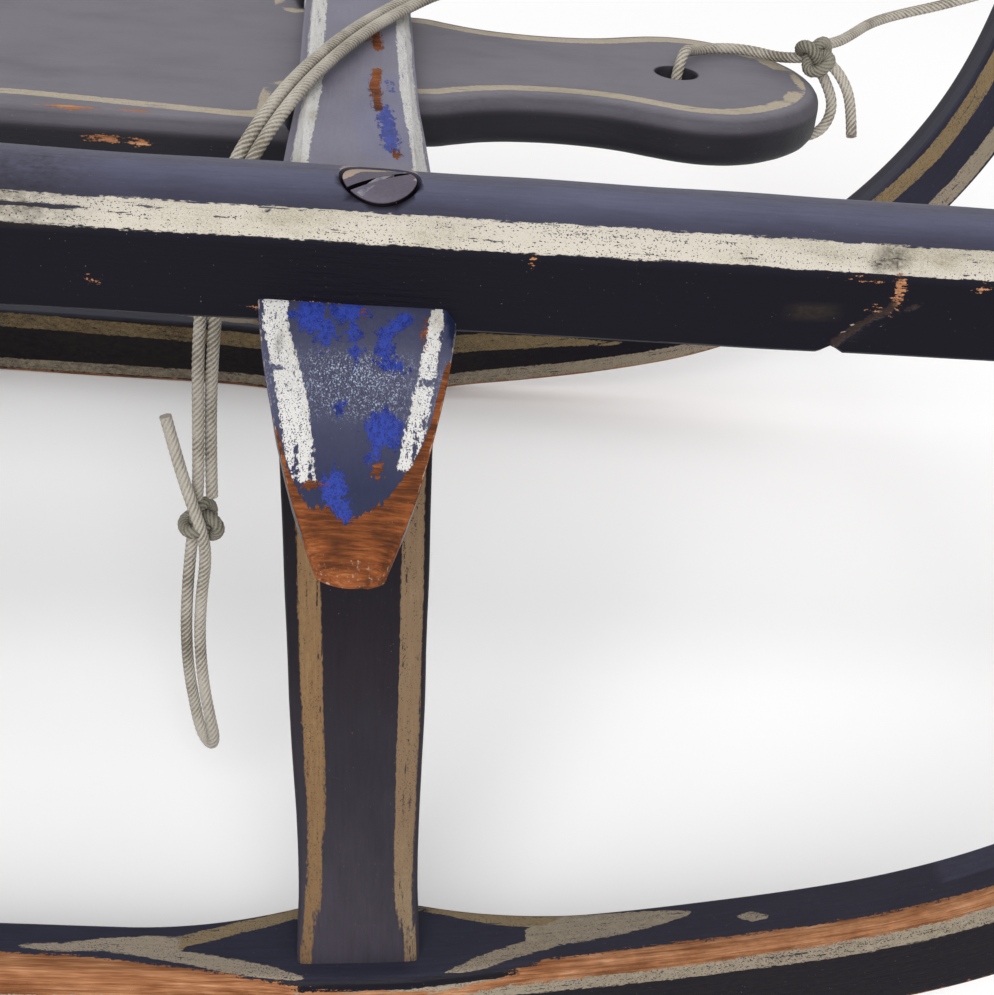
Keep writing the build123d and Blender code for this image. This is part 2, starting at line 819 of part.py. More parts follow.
os.makedirs("parts", exist_ok=True)
for side_name, side in sides.items():
    export_step(make_runner(side), "parts/runner_%s.step" % side_name)
    export_step(make_rail(side), "parts/rail_%s.step" % side_name)
    for beam_name, beam_x, passing_width in beams:
        place = "%s_%s" % (beam_name, side_name)
        export_step(make_post(beam_x, side), "parts/post_%s.step" % place)
        export_step(make_wedge(beam_x, side), "parts/wedge_%s.step" % place)
for beam_name, beam_x, passing_width in beams:
    export_step(make_beam(beam_x, passing_width), "parts/beam_%s.step" % beam_name)
    pegs = [deck_peg(beam_x, passing_width, side, 0) for side in sides.values()]
    export_step(Compound(children=pegs), "parts/deck_pegs_%s.step" % beam_name)
export_step(make_plank(), "parts/deck_plank.step")
export_step(make_rung(), "parts/nose_rung.step")
for cord_name in cord_routes:
    export_step(make_cord(cord_name), "parts/cord_%s.step" % cord_name)
for knot_name in knots:
    export_step(make_knot(knot_name), "parts/knot_%s.step" % knot_name)
export_step(make_rung_turns(), "parts/knot_rung.step")
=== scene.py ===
"""Child's bentwood sled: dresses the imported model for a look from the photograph's own angle.

All sizes in the classes are millimetres, and a mesh is scaled to metres when it is made.
Frame: +X forwards, +Y to the sled's left, +Z up, origin on the ground under the middle.
"""

from __future__ import annotations

import json
import logging
import math
from dataclasses import dataclass, field, fields
from enum import Enum
from typing import Any, Callable, Iterable, Mapping, Optional, Sequence, Union

import bmesh
import bpy
import numpy as np
from mathutils import Matrix, Vector
from mathutils.geometry import tessellate_polygon
from mathutils.noise import noise as smooth_noise

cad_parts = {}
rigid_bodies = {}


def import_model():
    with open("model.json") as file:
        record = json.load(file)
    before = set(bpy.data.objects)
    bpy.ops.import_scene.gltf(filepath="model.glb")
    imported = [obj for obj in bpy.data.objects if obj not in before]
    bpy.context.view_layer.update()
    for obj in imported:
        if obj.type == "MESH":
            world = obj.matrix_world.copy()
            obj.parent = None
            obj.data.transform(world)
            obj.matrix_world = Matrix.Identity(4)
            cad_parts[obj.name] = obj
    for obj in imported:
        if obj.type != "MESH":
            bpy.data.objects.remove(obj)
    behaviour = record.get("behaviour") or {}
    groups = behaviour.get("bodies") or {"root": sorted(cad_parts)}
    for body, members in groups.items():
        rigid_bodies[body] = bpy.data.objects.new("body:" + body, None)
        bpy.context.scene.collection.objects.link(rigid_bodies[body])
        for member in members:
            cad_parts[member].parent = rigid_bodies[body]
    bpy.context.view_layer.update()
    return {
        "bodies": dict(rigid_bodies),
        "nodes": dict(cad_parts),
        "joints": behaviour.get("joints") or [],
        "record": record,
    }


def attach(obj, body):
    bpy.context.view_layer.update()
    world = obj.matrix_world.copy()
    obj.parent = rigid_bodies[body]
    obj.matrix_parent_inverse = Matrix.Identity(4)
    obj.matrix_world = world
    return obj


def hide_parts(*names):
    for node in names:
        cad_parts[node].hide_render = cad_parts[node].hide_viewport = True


LOG = logging.getLogger("bentwood_sled")
MM = 0.001
TINY = 1e-6
PHOTO_SIDE = 995            # pixels along the photograph's longer side
FAR = 9.0                   # what a mark's distance reads where there is none near
PLAIN = 0.3                 # tint of a mark that has no say in the tint
Colour = tuple[float, float, float]
Point = tuple[float, float, float]
Rows = tuple[tuple[float, ...], ...]
Array = np.ndarray
Thing = bpy.types.Object
Mesh = bpy.types.Mesh
Finish = bpy.types.Material
Tree = bpy.types.NodeTree


class Worded(Enum):
    """An option whose name is also part of the nodes' names."""

    @property
    def word(self) -> str:
        """The name in lower case."""
        return self.name.lower()


class Side(Worded):
    """The two sides of the sled, valued by the sign of Y."""

    RIGHT = -1
    LEFT = 1


class Bay(Worded):
    """The three cross-beams, valued by their centres along X."""

    FRONT = 181.5
    MIDDLE = -73.5
    REAR = -328.5


# Shared sizes


@dataclass(frozen=True)
class Deck:
    """The tilted frame that beams, rails and plank are drawn in."""

    hinge_x: float = 181.5
    hinge_z: float = 170.0
    pitch: float = math.radians(0.77)

    def _turn(self, points: Array, sign: int) -> Array:
        """Turns points about the hinge, up in front for a sign of 1."""
        out = np.array(points, dtype=float)
        dx, dz = out[..., 0] - self.hinge_x, out[..., 2] - self.hinge_z
        cosine, sine = math.cos(self.pitch), sign * math.sin(self.pitch)
        out[..., 0] = self.hinge_x + dx * cosine - dz * sine
        out[..., 2] = self.hinge_z + dx * sine + dz * cosine
        return out

    def place(self, points: Array) -> Array:
        """Ground-frame places of points drawn in the level deck."""
        return self._turn(points, 1)

    def level(self, points: Array) -> Array:
        """Places in the level deck of points in the ground frame."""
        return self._turn(points, -1)


@dataclass(frozen=True)
class Track:
    """The line of a runner: flat sole, slow bend and bow."""

    half_length: float = 430.0
    half_track: float = 159.0
    height: float = 24.25
    width: float = 14.8
    foot_lead: float = 12.3     # of a post's foot before its beam
    slow_start: float = 146.43
    slow_radius: float = 610.8
    slow_angle: float = math.radians(14.8)
    bow_x: float = 258.7
    bow_z: float = 185.88
    bow_radius: float = 171.3
    bow_over: float = math.radians(17.0)
    bow_lead: float = 40.0      # how far behind bow_x a point can still be on the bow

    @property
    def bow_start(self) -> float:
        """Length along the sole where the bow begins."""
        return self.slow_start + self.slow_radius * self.slow_angle

    @property
    def end(self) -> float:
        """Length along the sole of the bow's tip."""
        return self.bow_start + self.bow_radius * (math.pi / 2 - self.slow_angle + self.bow_over)

    def place(self, along: Array, up: Array) -> tuple[Array, Array]:
        """X and Z of a point given along the sole and square to it."""
        slow = np.clip((along - self.slow_start) / self.slow_radius, 0, self.slow_angle)
        turn = slow + np.maximum(along - self.bow_start, 0) / self.bow_radius
        on_bow = along > self.bow_start
        x = np.minimum(along, self.slow_start) + self.slow_radius * np.sin(slow)
        z = self.slow_radius * (1 - np.cos(slow))
        x = np.where(on_bow, self.bow_x + self.bow_radius * np.sin(turn), x)
        z = np.where(on_bow, self.bow_z - self.bow_radius * np.cos(turn), z)
        return x - up * np.sin(turn), z + up * np.cos(turn)

    def straighten(self, x: Array, z: Array) -> tuple[Array, Array]:
        """Length along the sole and height above it of points in the XZ plane."""
        slow = np.arctan2(x - self.slow_start, self.slow_radius - z)
        bow = np.arctan2(x - self.bow_x, self.bow_z - z)
        bow = np.where(bow < -math.pi / 2, bow + 2 * math.pi, bow)
        flat = x <= self.slow_start
        along = np.where(flat, x, self.slow_start + self.slow_radius * slow)
        bent = self.slow_radius - np.hypot(x - self.slow_start, self.slow_radius - z)
        up = np.where(flat, z, bent)
        on_bow = (bow > self.slow_angle) & (x > self.bow_x - self.bow_lead)
        along = np.where(on_bow, self.bow_start + self.bow_radius * (bow - self.slow_angle), along)
        up = np.where(on_bow, self.bow_radius - np.hypot(x - self.bow_x, self.bow_z - z), up)
        return along, up

    def soles(self) -> Array:
        """Lengths along the sole of the feet's centres."""
        return np.array([bay.value + self.foot_lead for bay in Bay])


DECK = Deck()
TRACK = Track()


# Marks of paint and wear, each a distance in millimetres, positive inside


@dataclass(frozen=True)
class Ribbon:
    """A painted or worn band given by rows of along, centre across and half width."""

    rows: Rows
    tint: float = PLAIN

    def inside(self, along: Array, across: Array) -> Array:
        """How far inside the band each point lies."""
        place, middle, width = np.array(self.rows).T
        half = np.interp(along, place, width)
        past = np.maximum(place[0] - along, along - place[-1])
        return np.minimum(half - np.abs(across - np.interp(along, place, middle)), -past)


@dataclass(frozen=True)
class Blot:
    """An oval patch."""

    along: float
    across: float
    reach: float
    breadth: float
    tint: float = PLAIN

    def inside(self, along: Array, across: Array) -> Array:
        """How far inside the oval each point lies."""
        share = np.hypot((along - self.along) / self.reach, (across - self.across) / self.breadth)
        return min(self.reach, self.breadth) * (1 - share)


@dataclass(frozen=True)
class Stroke:
    """A crooked line of one half width through points of along and across."""

    points: Rows
    half: float
    tint: float = PLAIN

    def inside(self, along: Array, across: Array) -> Array:
        """How far inside the line each point lies."""
        best = np.full(np.shape(along), np.inf)
        for (a0, c0), (a1, c1) in zip(self.points, self.points[1:]):
            run = (a1 - a0) ** 2 + (c1 - c0) ** 2
            share = np.clip(((along - a0) * (a1 - a0) + (across - c0) * (c1 - c0)) / run, 0, 1)
            gap = np.hypot(along - a0 - share * (a1 - a0), across - c0 - share * (c1 - c0))
            best = np.minimum(best, gap)
        return self.half - best


@dataclass(frozen=True)
class Tide:
    """Everything past a line that is given by rows of across and along."""

    rows: Rows
    tint: float = PLAIN

    def inside(self, along: Array, across: Array) -> Array:
        """How far past the line each point lies."""
        return along - np.interp(across, *np.array(self.rows).T)


Mark = Union[Ribbon, Blot, Stroke, Tide]


def nearest(marks: Iterable[Mark], along: Array, across: Array) -> tuple[Array, Array]:
    """Reads several marks at once.

    Args:
        marks: the marks of one kind.
        along: where the points lie along the piece.
        across: where they lie across it.

    Returns:
        How far inside the nearest mark each point lies, and that mark's tint.
    """
    best = np.full(np.shape(along), -FAR)
    tint = np.full(np.shape(along), PLAIN)
    for mark in marks:
        here = mark.inside(along, across)
        tint = np.where(here > best, mark.tint, tint)
        best = np.maximum(best, here)
    return np.clip(best, -FAR, FAR), tint


def even(value: float) -> Any:
    """A field with one reading for the whole mesh, until a piece gives its own."""
    return field(default_factory=lambda: np.array([value]))


@dataclass
class Reading:
    """What a finish reads at each point of a mesh."""

    run: Array                  # place along the grain, across it and up
    stripe: Array = even(-FAR)
    tint: Array = even(PLAIN)
    bare: Array = even(-FAR)
    cobalt: Array = even(-FAR)
    crack: Array = even(-FAR)
    arris: Array = even(FAR)
    # dust and painted sheen: lighter on upward faces and highlight bands, kept dark where shade is
    # painted
    dust: Array = even(0.5)
    # where the painted glints and the crackle net lie
    glint: Array = even(0.0)
    soil: Array = even(0.0)

    def write(self, mesh: Mesh) -> None:
        """Stores every reading as an attribute of the mesh's points."""
        layer = mesh.attributes.new("run", "FLOAT_VECTOR", "POINT")
        layer.data.foreach_set("vector", np.ascontiguousarray(self.run, dtype=np.float32).ravel())
        for item in fields(self)[1:]:
            values = np.broadcast_to(getattr(self, item.name), (len(mesh.vertices),))
            layer = mesh.attributes.new(item.name, "FLOAT", "POINT")
            layer.data.foreach_set("value", values.astype(np.float32))


# Meshes


def stations(*legs: tuple[float, float, float]) -> Array:
    """Places along a piece.

    Args:
        legs: start, end and longest step of each leg.

    Returns:
        The places in order, without doubles.
    """
    places: list[float] = []
    for start, end, step in legs:
        count = max(1, math.ceil(abs(end - start) / step))
        places += list(np.linspace(start, end, count + 1))[: -1 if legs[-1][1] != end else None]
    return np.unique(np.round(np.array(places), 6))


def rounding(radius: float, inset: float) -> float:
    """How far a rounded end falls back at a distance from it."""
    if inset >= radius:
        return 0.0
    return radius - math.sqrt(max(radius**2 - (radius - inset) ** 2, 0))


def link(name: str, data: bpy.types.ID) -> Thing:
    """Makes an object and puts it in the scene."""
    made = bpy.data.objects.new(name, data)
    bpy.context.scene.collection.objects.link(made)
    return made


class Skin:
    """A closed mesh of rings that becomes one Blender object."""

    def __init__(self, rings: Sequence[Any]) -> None:
        """Takes rings as an array of ring, point and x, y, z."""
        stack = np.array(rings)
        self.points: list[Sequence[float]] = [tuple(p) for p in stack.reshape(-1, 3)]
        self.count, self.size = stack.shape[:2]
        self.faces: list[tuple[int, ...]] = []
        for ring in range(self.count - 1):
            first = list(range(ring * self.size, (ring + 1) * self.size))
            self.join(first, [i + self.size for i in first])

    def join(self, low: Sequence[int], high: Sequence[int]) -> None:
        """Adds the faces between two loops of points."""
        for k in range(len(low)):
            j = (k + 1) % len(low)
            self.faces.append((low[k], low[j], high[j], high[k]))

    def cap_fans(self) -> Skin:
        """Closes the first and the last ring with a fan round its middle."""
        for ring in (0, self.count - 1):
            first = ring * self.size
            corners = np.array(self.points[first : first + self.size])
            self.points.append(tuple(corners.mean(axis=0)))
            middle = len(self.points) - 1
            for k in range(self.size):
                edge = (first + k, first + (k + 1) % self.size)
                self.faces.append((*(edge[::-1] if ring == 0 else edge), middle))
        return self

    def cap_strips(self, across: int) -> Skin:
        """Closes both flat ends by joining the upper and lower points of the ring.

        Args:
            across: how many points the upper line has, from the first on.

        Returns:
            The same skin.
        """
        lower = self.size - across
        for ring in (0, self.count - 1):
            first = ring * self.size
            for k in range(across - 1):
                j0 = across + round((across - 1 - k) / (across - 1) * (lower - 1))
                j1 = across + round((across - 2 - k) / (across - 1) * (lower - 1))
                face = [first + k, first + k + 1, first + j1] + ([first + j0] if j0 != j1 else [])
                self.faces.append(tuple(face if ring == 0 else face[::-1])[::-1])
        return self

    def add(self, other: Skin) -> None:
        """Takes in another skin as a shell of its own."""
        start = len(self.points)
        self.points += other.points
        self.faces += [tuple(i + start for i in face) for face in other.faces]

    def make(self, name: str) -> Thing:
        """Makes the object, with its faces turned outwards."""
        mesh = bpy.data.meshes.new(name)
        mesh.from_pydata([tuple(np.array(p) * MM) for p in self.points], [], self.faces)
        return Pieces.adopt(name, mesh)


class Pieces:
    """Helpers that shape and finish an object's mesh."""

    @staticmethod
    def adopt(name: str, mesh: Mesh) -> Thing:
        """Links a closed mesh as an object and turns its faces outwards."""
        piece = link(name, mesh)
        shell = bmesh.new()
        shell.from_mesh(mesh)
        bmesh.ops.remove_doubles(shell, verts=shell.verts, dist=1e-7)
        bmesh.ops.recalc_face_normals(shell, faces=shell.faces)
        shell.to_mesh(mesh)
        shell.free()
        return piece

    @staticmethod
    def places(mesh: Mesh) -> Array:
        """The points of a mesh in millimetres."""
        flat = np.empty(len(mesh.vertices) * 3, dtype=np.float32)
        mesh.vertices.foreach_get("co", flat)
        return flat.reshape(-1, 3).astype(float) / MM

    @staticmethod
    def settle(mesh: Mesh, points: Array) -> None:
        """Moves the points of a mesh, given in millimetres."""
        mesh.vertices.foreach_set("co", (points * MM).astype(np.float32).ravel())
        mesh.update()

    @staticmethod
    def evaluated(piece: Thing) -> Mesh:
        """The mesh that an object's modifiers or curve give."""
        graph = bpy.context.evaluated_depsgraph_get()
        return bpy.data.meshes.new_from_object(piece.evaluated_get(graph), depsgraph=graph)

    @staticmethod
    def carve(piece: Thing, cutters: Sequence[Thing]) -> None:
        """Takes the cutters away from a piece and deletes them."""
        for cutter in cutters:
            step = piece.modifiers.new("cut", "BOOLEAN")
            step.operation = "DIFFERENCE"
            step.solver = "EXACT"
            step.object = cutter
        piece.data = Pieces.evaluated(piece)
        piece.modifiers.clear()
        for cutter in cutters:
            bpy.data.objects.remove(cutter)

    @staticmethod
    def weather(mesh: Mesh, depth: float, length: float, seed: float) -> None:
        """Presses the surface in a little as if by hand, never outwards.

        Args:
            mesh: the mesh to change.
            depth: deepest hollow in millimetres.
            length: size of the hollows in millimetres.
            seed: shifts the pattern.
        """
        points = Pieces.places(mesh)
        normals = np.empty(len(points) * 3, dtype=np.float32)
        mesh.vertices.foreach_get("normal", normals)
        shift = Vector((seed, seed * 1.7, -seed))
        hollow = np.array([smooth_noise(Vector(p / length) + shift) for p in points])
        push = depth * np.clip(0.5 - hollow, 0, 1)
        Pieces.settle(mesh, points - normals.reshape(-1, 3) * push[:, None])

    @staticmethod
    def hand_over(
        piece: Thing,
        material: Finish,
        node: str,
        slot: str,
        crease: Optional[float] = None,
    ) -> Thing:
        """Args:
            piece: the object.
            material: its finish.
            node: the CAD node that it stands for.
            slot: the record's material slot, not used.
            crease: edges sharper than this many degrees stay sharp, where it is given.

        Returns:
            The same object.
        """
        mesh = piece.data
        mesh.polygons.foreach_set("use_smooth", [True] * len(mesh.polygons))
        if crease is not None:
            mesh.set_sharp_from_angle(angle=math.radians(crease))
        mesh.materials.clear()
        mesh.materials.append(material)
        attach(piece, "root")
        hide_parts(node)
        LOG.info("%s: %d points, %d faces", piece.name, len(mesh.vertices), len(mesh.polygons))
        return piece


# Node trees


def _operator(operation: str, flipped: bool = False) -> Callable[[Wire, Operand], Wire]:
    """Makes a method of Wire that adds one Math node.

    Args:
        operation: the node's operation.
        flipped: whether the other value comes first.

    Returns:
        The method.
    """

    def method(self: Wire, other: Operand) -> Wire:
        """Adds the node over both values."""
        pair = (other, self) if flipped else (self, other)
        return self.bench.node("ShaderNodeMath", {"operation": operation}, dict(enumerate(pair)))

    return method


class Wire:
    """A socket with arithmetic, whose expressions become Math nodes."""

    __add__, __radd__ = _operator("ADD"), _operator("ADD", True)
    __sub__, __rsub__ = _operator("SUBTRACT"), _operator("SUBTRACT", True)
    __mul__, __rmul__ = _operator("MULTIPLY"), _operator("MULTIPLY", True)
    __truediv__ = _operator("DIVIDE")
    either = _operator("MAXIMUM")

    def __init__(self, bench: Bench, socket: bpy.types.NodeSocket) -> None:
        """Wraps an output socket of the bench's tree."""
        self.bench = bench
        self.socket = socket

    def ramp(self, low: float, high: float) -> Wire:
        """Smooth step from 0 at low to 1 at high, or down if high is the smaller."""
        ends = {"From Min": low, "From Max": high, "To Min": 0.0, "To Max": 1.0}
        kind = {"interpolation_type": "SMOOTHSTEP"}
        return self.bench.node("ShaderNodeMapRange", kind, {"Value": self, **ends})

    def off(self, weight: float) -> Wire:
        """What a noise about 0.5 adds, at a weight."""
        return (self - 0.5) * weight


Operand = Union[Wire, float]
Value = Union[Wire, float, int, bool, str, Sequence[float], bpy.types.ID]


class Bench:
    """Adds nodes to one tree."""

    def __init__(self, tree: Tree) -> None:
        """Takes an empty tree."""
        self.tree = tree

    def node(
        self,
        kind: str,
        settings: Optional[Mapping[str, Any]] = None,
        sockets: Optional[Mapping[Union[str, int], Value]] = None,
        output: Union[str, int] = 0,
    ) -> Wire:
        """Adds one node.

        Args:
            kind: the node's type.
            settings: its own settings, and "stops" for a ramp's colours.
            sockets: values or links of its inputs, by name or number.
            output: which output the wire starts from.

        Returns:
            A wire from that output.
        """
        made = self.tree.nodes.new(kind)
        for name, value in (settings or {}).items():
            if name == "stops":
                ramp = made.color_ramp
                while len(ramp.elements) < len(value):
                    ramp.elements.new(0.5)
                for element, (place, colour) in zip(ramp.elements, value):
                    element.position = place
                    element.color = (*colour, 1.0)
            else:
                setattr(made, name, value)
        for key, value in (sockets or {}).items():
            socket = made.inputs[key]
            if isinstance(value, Wire):
                self.tree.links.new(value.socket, socket)
            elif socket.type == "RGBA" and len(value) == 3:
                socket.default_value = (*value, 1.0)
            else:
                socket.default_value = value
        return Wire(self, made.outputs[output] if made.outputs else made.inputs[0])

    def read(self, name: str) -> Wire:
        """A number that the mesh stores at its points."""
        return self.node("ShaderNodeAttribute", {"attribute_name": name}, output="Fac")

    def stretch(self, place: Wire, factors: Point, shift: Point = (0, 0, 0)) -> Wire:
        """A place with each axis scaled and shifted."""
        parts = {0: place, 1: factors, 2: shift}
        return self.node("ShaderNodeVectorMath", {"operation": "MULTIPLY_ADD"}, parts)

    def in_millimetres(self) -> Wire:
        """Object coordinates in millimetres."""
        place = self.node("ShaderNodeTexCoord", output="Object")
        return self.stretch(place, (1 / MM, 1 / MM, 1 / MM))

    def noise(
        self, place: Wire, grain: Point, detail: float = 2.0, rough: float = 0.55, shift: float = 0
    ) -> Wire:
        """Fractal noise about 0.5, with its grain per millimetre on each axis."""
        vector = self.stretch(place, grain, (shift, shift * 0.7, -shift))
        sockets = {"Vector": vector, "Scale": 1.0, "Detail": detail, "Roughness": rough}
        return self.node("ShaderNodeTexNoise", {"noise_dimensions": "3D"}, sockets)

    def cells(self, place: Wire, factors: Point) -> Wire:
        """Distance to the edge in a net of cells."""
        sockets = {"Vector": self.stretch(place, factors), "Scale": 1.0}
        return self.node("ShaderNodeTexVoronoi", {"feature": "DISTANCE_TO_EDGE"}, sockets)

    def mix(self, share: Operand, first: Value, second: Value) -> Wire:
        """Blends two colours."""
        sockets = {0: share, 6: first, 7: second}
        return self.node("ShaderNodeMix", {"data_type": "RGBA"}, sockets, 2)

    def shade(self, share: Wire, stops: Sequence[tuple[float, Colour]]) -> Wire:
        """A ramp of colours."""
        return self.node("ShaderNodeValToRGB", {"stops": stops}, {0: share})

    def surface(
        self, colour: Value, roughness: Operand, height: Wire, depth: float, specular: float = 0.5
    ) -> None:
        """Ends a material with a Principled shader and a bump in millimetres."""
        relief = {"Strength": 1.0, "Distance": depth * MM, "Height": height}
        sockets = {"Base Color": colour, "Roughness": roughness, "Specular IOR Level": specular}
        sockets["Normal"] = self.node("ShaderNodeBump", {}, relief)
        shader = self.node("ShaderNodeBsdfPrincipled", {}, sockets)
        self.node("ShaderNodeOutputMaterial", {}, {"Surface": shader})


def new_material(name: str) -> tuple[Finish, Bench]:
    """Makes an empty node material and its bench."""
    material = bpy.data.materials.new(name)
    material.use_nodes = True
    material.node_tree.nodes.clear()
    return material, Bench(material.node_tree)


# Finishes

NOISES = (
    # grain per millimetre, detail, roughness and what is added to the seed
    ((0.035, 0.07, 0.07), 3.0, 0.6, 0),     # cloud: broad unevenness
    ((0.10, 1.4, 1.4), 3.0, 0.6, 5),        # streak: the brush and the grain
    ((0.8, 1.8, 1.8), 2.0, 0.55, 9),        # fine
    ((3.0, 4.2, 4.2), 1.0, 0.5, 11),        # grit
    ((0.55, 0.9, 0.9), 4.0, 0.7, 15),       # shred: torn edges of the flakes
)


@dataclass(frozen=True)
class OldPaint:
    """Blue-black oil paint of a century, with cream stripes, over cobalt, over ash."""

    name: str
    dark: Colour = (0.0042, 0.0036, 0.0068)
    # grey of dust and of the painted sheen on upward faces
    dusty: Colour = (0.135, 0.138, 0.215)
    cream: Colour = (0.62, 0.585, 0.50)
    soiled: Colour = (0.20, 0.175, 0.12)
    gold: Colour = (0.43, 0.285, 0.125)
    dull_gold: Colour = (0.17, 0.105, 0.045)
    blue: Colour = (0.028, 0.055, 0.36)
    deep_blue: Colour = (0.012, 0.018, 0.10)
    glow: Colour = (0.040, 0.080, 0.28)
    # colour of the painted glints
    glimmer: Colour = (0.38, 0.43, 0.53)
    rubbed: Colour = (0.36, 0.27, 0.20)
    stained: Colour = (0.07, 0.05, 0.042)
    gash: Colour = (0.020, 0.012, 0.010)
    speck: Colour = (0.33, 0.27, 0.24)
    # dark of dirt and of painted shade
    grime: Colour = (0.018, 0.014, 0.011)
    wood_stops: tuple[tuple[float, Colour], ...] = (
        (0.30, (0.045, 0.017, 0.008)),
        (0.45, (0.165, 0.062, 0.025)),
        (0.57, (0.31, 0.145, 0.070)),
        (0.70, (0.50, 0.31, 0.195)),
    )
    grain: Point = (0.035, 1.1, 1.1)
    ragged: float = 0.55        # how far the stripes' edges wander, in millimetres
    pinholes: float = 0.60      # above this the fine noise shows through a stripe
    crackle: float = 0.0        # depth of the net of fine cracks
    relief: float = 0.11        # depth of the bump, in millimetres
    gloss: float = 0.34
    specular: float = 0.16
    seed: float = 0.0

    def wood(self, bench: Bench, run: Wire) -> Wire:
        """Colour of bare, oiled ash."""
        along, across, up = self.grain
        grain = bench.noise(run, self.grain, 4.0, 0.65, self.seed)
        hair = bench.noise(run, (along * 4, across * 3, up * 3), 3.0, 0.6, self.seed + 3)
        patch = bench.noise(run, (0.09, 0.16, 0.16), 2.0, 0.5, self.seed + 4)
        return bench.shade(grain * 0.42 + hair * 0.30 + patch * 0.28, self.wood_stops)

    def build(self) -> Finish:
        """Makes the material, coat by coat."""
        material, bench = new_material(self.name)
        run = bench.node("ShaderNodeAttribute", {"attribute_name": "run"}, output="Vector")
        names = [item.name for item in fields(Reading)[1:]]
        stripe, tint, bare, cobalt, crack, arris, dust, glint, soil = map(bench.read, names)
        cloud, streak, fine, grit, shred = (
            bench.noise(run, grain, detail, rough, self.seed + more)
            for grain, detail, rough, more in NOISES
        )
        # the dark coat, greyed where it faces up by dust and by a painted sheen
        veil = dust * (1.0 + cloud.off(0.8) + streak.off(0.45) + fine.off(0.2))
        colour = bench.mix(veil, self.dark, self.dusty)
        # painted highlights: pale glints on the crackled varnish
        dash = (grit * 0.6 + fine * 0.4).ramp(0.53, 0.62) * glint
        colour = bench.mix(dash * 0.7, colour, self.glimmer)
        # thin blue glow of the undercoat about the flakes
        colour = bench.mix(cobalt.ramp(-6.0, -4.0) * 0.11, colour, self.glow)
        # cobalt shows where the dark coat has flaked
        flake = (cobalt + shred.off(6.0) + streak.off(1.6)).ramp(-0.1, 0.35)
        blue = bench.mix((grit * 0.4 + shred * 0.6).ramp(0.44, 0.62), self.blue, self.deep_blue)
        colour = bench.mix(flake, colour, blue)
        # stripes with brushed ragged edges, pinholes and rubbed streaks
        band = stripe + (streak.off(2.2 * self.ragged) + fine.off(1.6 * self.ragged))
        band = band.ramp(-0.08, 0.14)
        holes = grit * 0.75 + streak * 0.25 + cloud.off(0.2)
        holes = holes.ramp(self.pinholes - 0.02, self.pinholes + 0.01)
        rubbed = (streak + fine.off(0.3)).ramp(0.655, 0.69)
        band = band * (1 - holes.either(rubbed) * 0.9)
        pale = bench.mix((grit * 0.3 + cloud * 0.7).ramp(0.26, 0.52), self.soiled, self.cream)
        warm = bench.mix((fine * 0.4 + streak * 0.6).ramp(0.3, 0.56), self.dull_gold, self.gold)
        colour = bench.mix(band, colour, bench.mix(tint.ramp(0.3, 0.9), pale, warm))
        # bare wood where the coats are worn through
        naked = (bare + streak.off(2.4) + fine.off(2.0) + grit.off(1.2)).ramp(-0.12, 0.18)
        colour = bench.mix(naked, colour, self.wood(bench, run))
        # thin pale line where hands rubbed the arrises, and the dark line of a crack
        edge = (arris + streak.off(0.9) + fine.off(0.6)).ramp(0.26, 0.05)
        colour = bench.mix(edge * 0.75, colour, self.rubbed)
        stain = (crack + fine.off(1.2) + grit.off(0.8)).ramp(-0.55, 0.05)
        colour = bench.mix(stain * 0.3, colour, self.stained)
        split = (crack + fine.off(0.9)).ramp(-0.25, 0.12)
        colour = bench.mix(split * 0.8, colour, self.gash)
        # specks off the stripes, and dirt together with painted shade
        specks = (grit * 0.8 + fine * 0.2).ramp(0.735, 0.76) * (1 - band)
        colour = bench.mix(specks * 0.55, colour, self.speck)
        dirt = soil * (0.7 + cloud.off(0.8) + shred.off(2.6))
        colour = bench.mix(dirt, colour, self.grime)
        net = 1 - bench.cells(run, (0.9, 1.9, 1.9)).ramp(0.0, 0.10)
        height = band * 0.45 - naked * 0.55 - flake * 0.35 - split * 1.4
        height = height + streak * 0.9 + fine * 0.35 - net * glint * (self.crackle * (1 - naked))
        roughness = self.gloss + veil * 0.16 + band * 0.28 + naked * 0.34 + streak.off(0.2)
        bench.surface(colour, roughness, height, self.relief, self.specular)
        return material


@dataclass(frozen=True)
class EndGrain:
    """End grain of ash, dark with paint and dirt, on object coordinates."""

    name: str = "end_grain"
    shades: tuple[Colour, ...] = ((0.018, 0.012, 0.012), (0.06, 0.035, 0.024), (0.24, 0.12, 0.055))

    def build(self) -> Finish:
        """Makes the material."""
        material, bench = new_material(self.name)
        place = bench.in_millimetres()
        rings = bench.noise(place, (0.9, 0.35, 0.35), 3.0, 0.6, 4.0)
        pores = bench.noise(place, (3.2, 3.2, 1.0), 1.0, 0.5, 7.0)
        shades = tuple(zip((0.34, 0.50, 0.66), self.shades))
        colour = bench.shade(rings * 0.7 + pores * 0.3, shades)
        bench.surface(colour, 0.55 + pores * 0.2, rings * 0.7 + pores * 0.5, 0.2)
        return material


@dataclass(frozen=True)
class CottonCord:
    """Limp laid cotton cord, grey-beige with handling dirt."""

    name: str = "cotton_cord"
    clean: Colour = (0.37, 0.34, 0.295)
    dirty: Colour = (0.13, 0.112, 0.085)

    def build(self) -> Finish:
        """Makes the material."""
        material, bench = new_material(self.name)
        place = bench.in_millimetres()
        smudge = bench.noise(place, (0.07, 0.07, 0.07), 3.0, 0.6)
        fluff = bench.noise(place, (2.6, 2.6, 2.6), 3.0, 0.65, 2.0)
        thread = bench.read("groove")
        share = (smudge * 0.6 + fluff * 0.4 + thread * 0.18).ramp(0.40, 0.66)
        colour = bench.mix(share, self.dirty, self.clean)
        bench.surface(colour, 0.85, fluff * 0.9 + thread * 0.6, 0.16, 0.15)
        return material


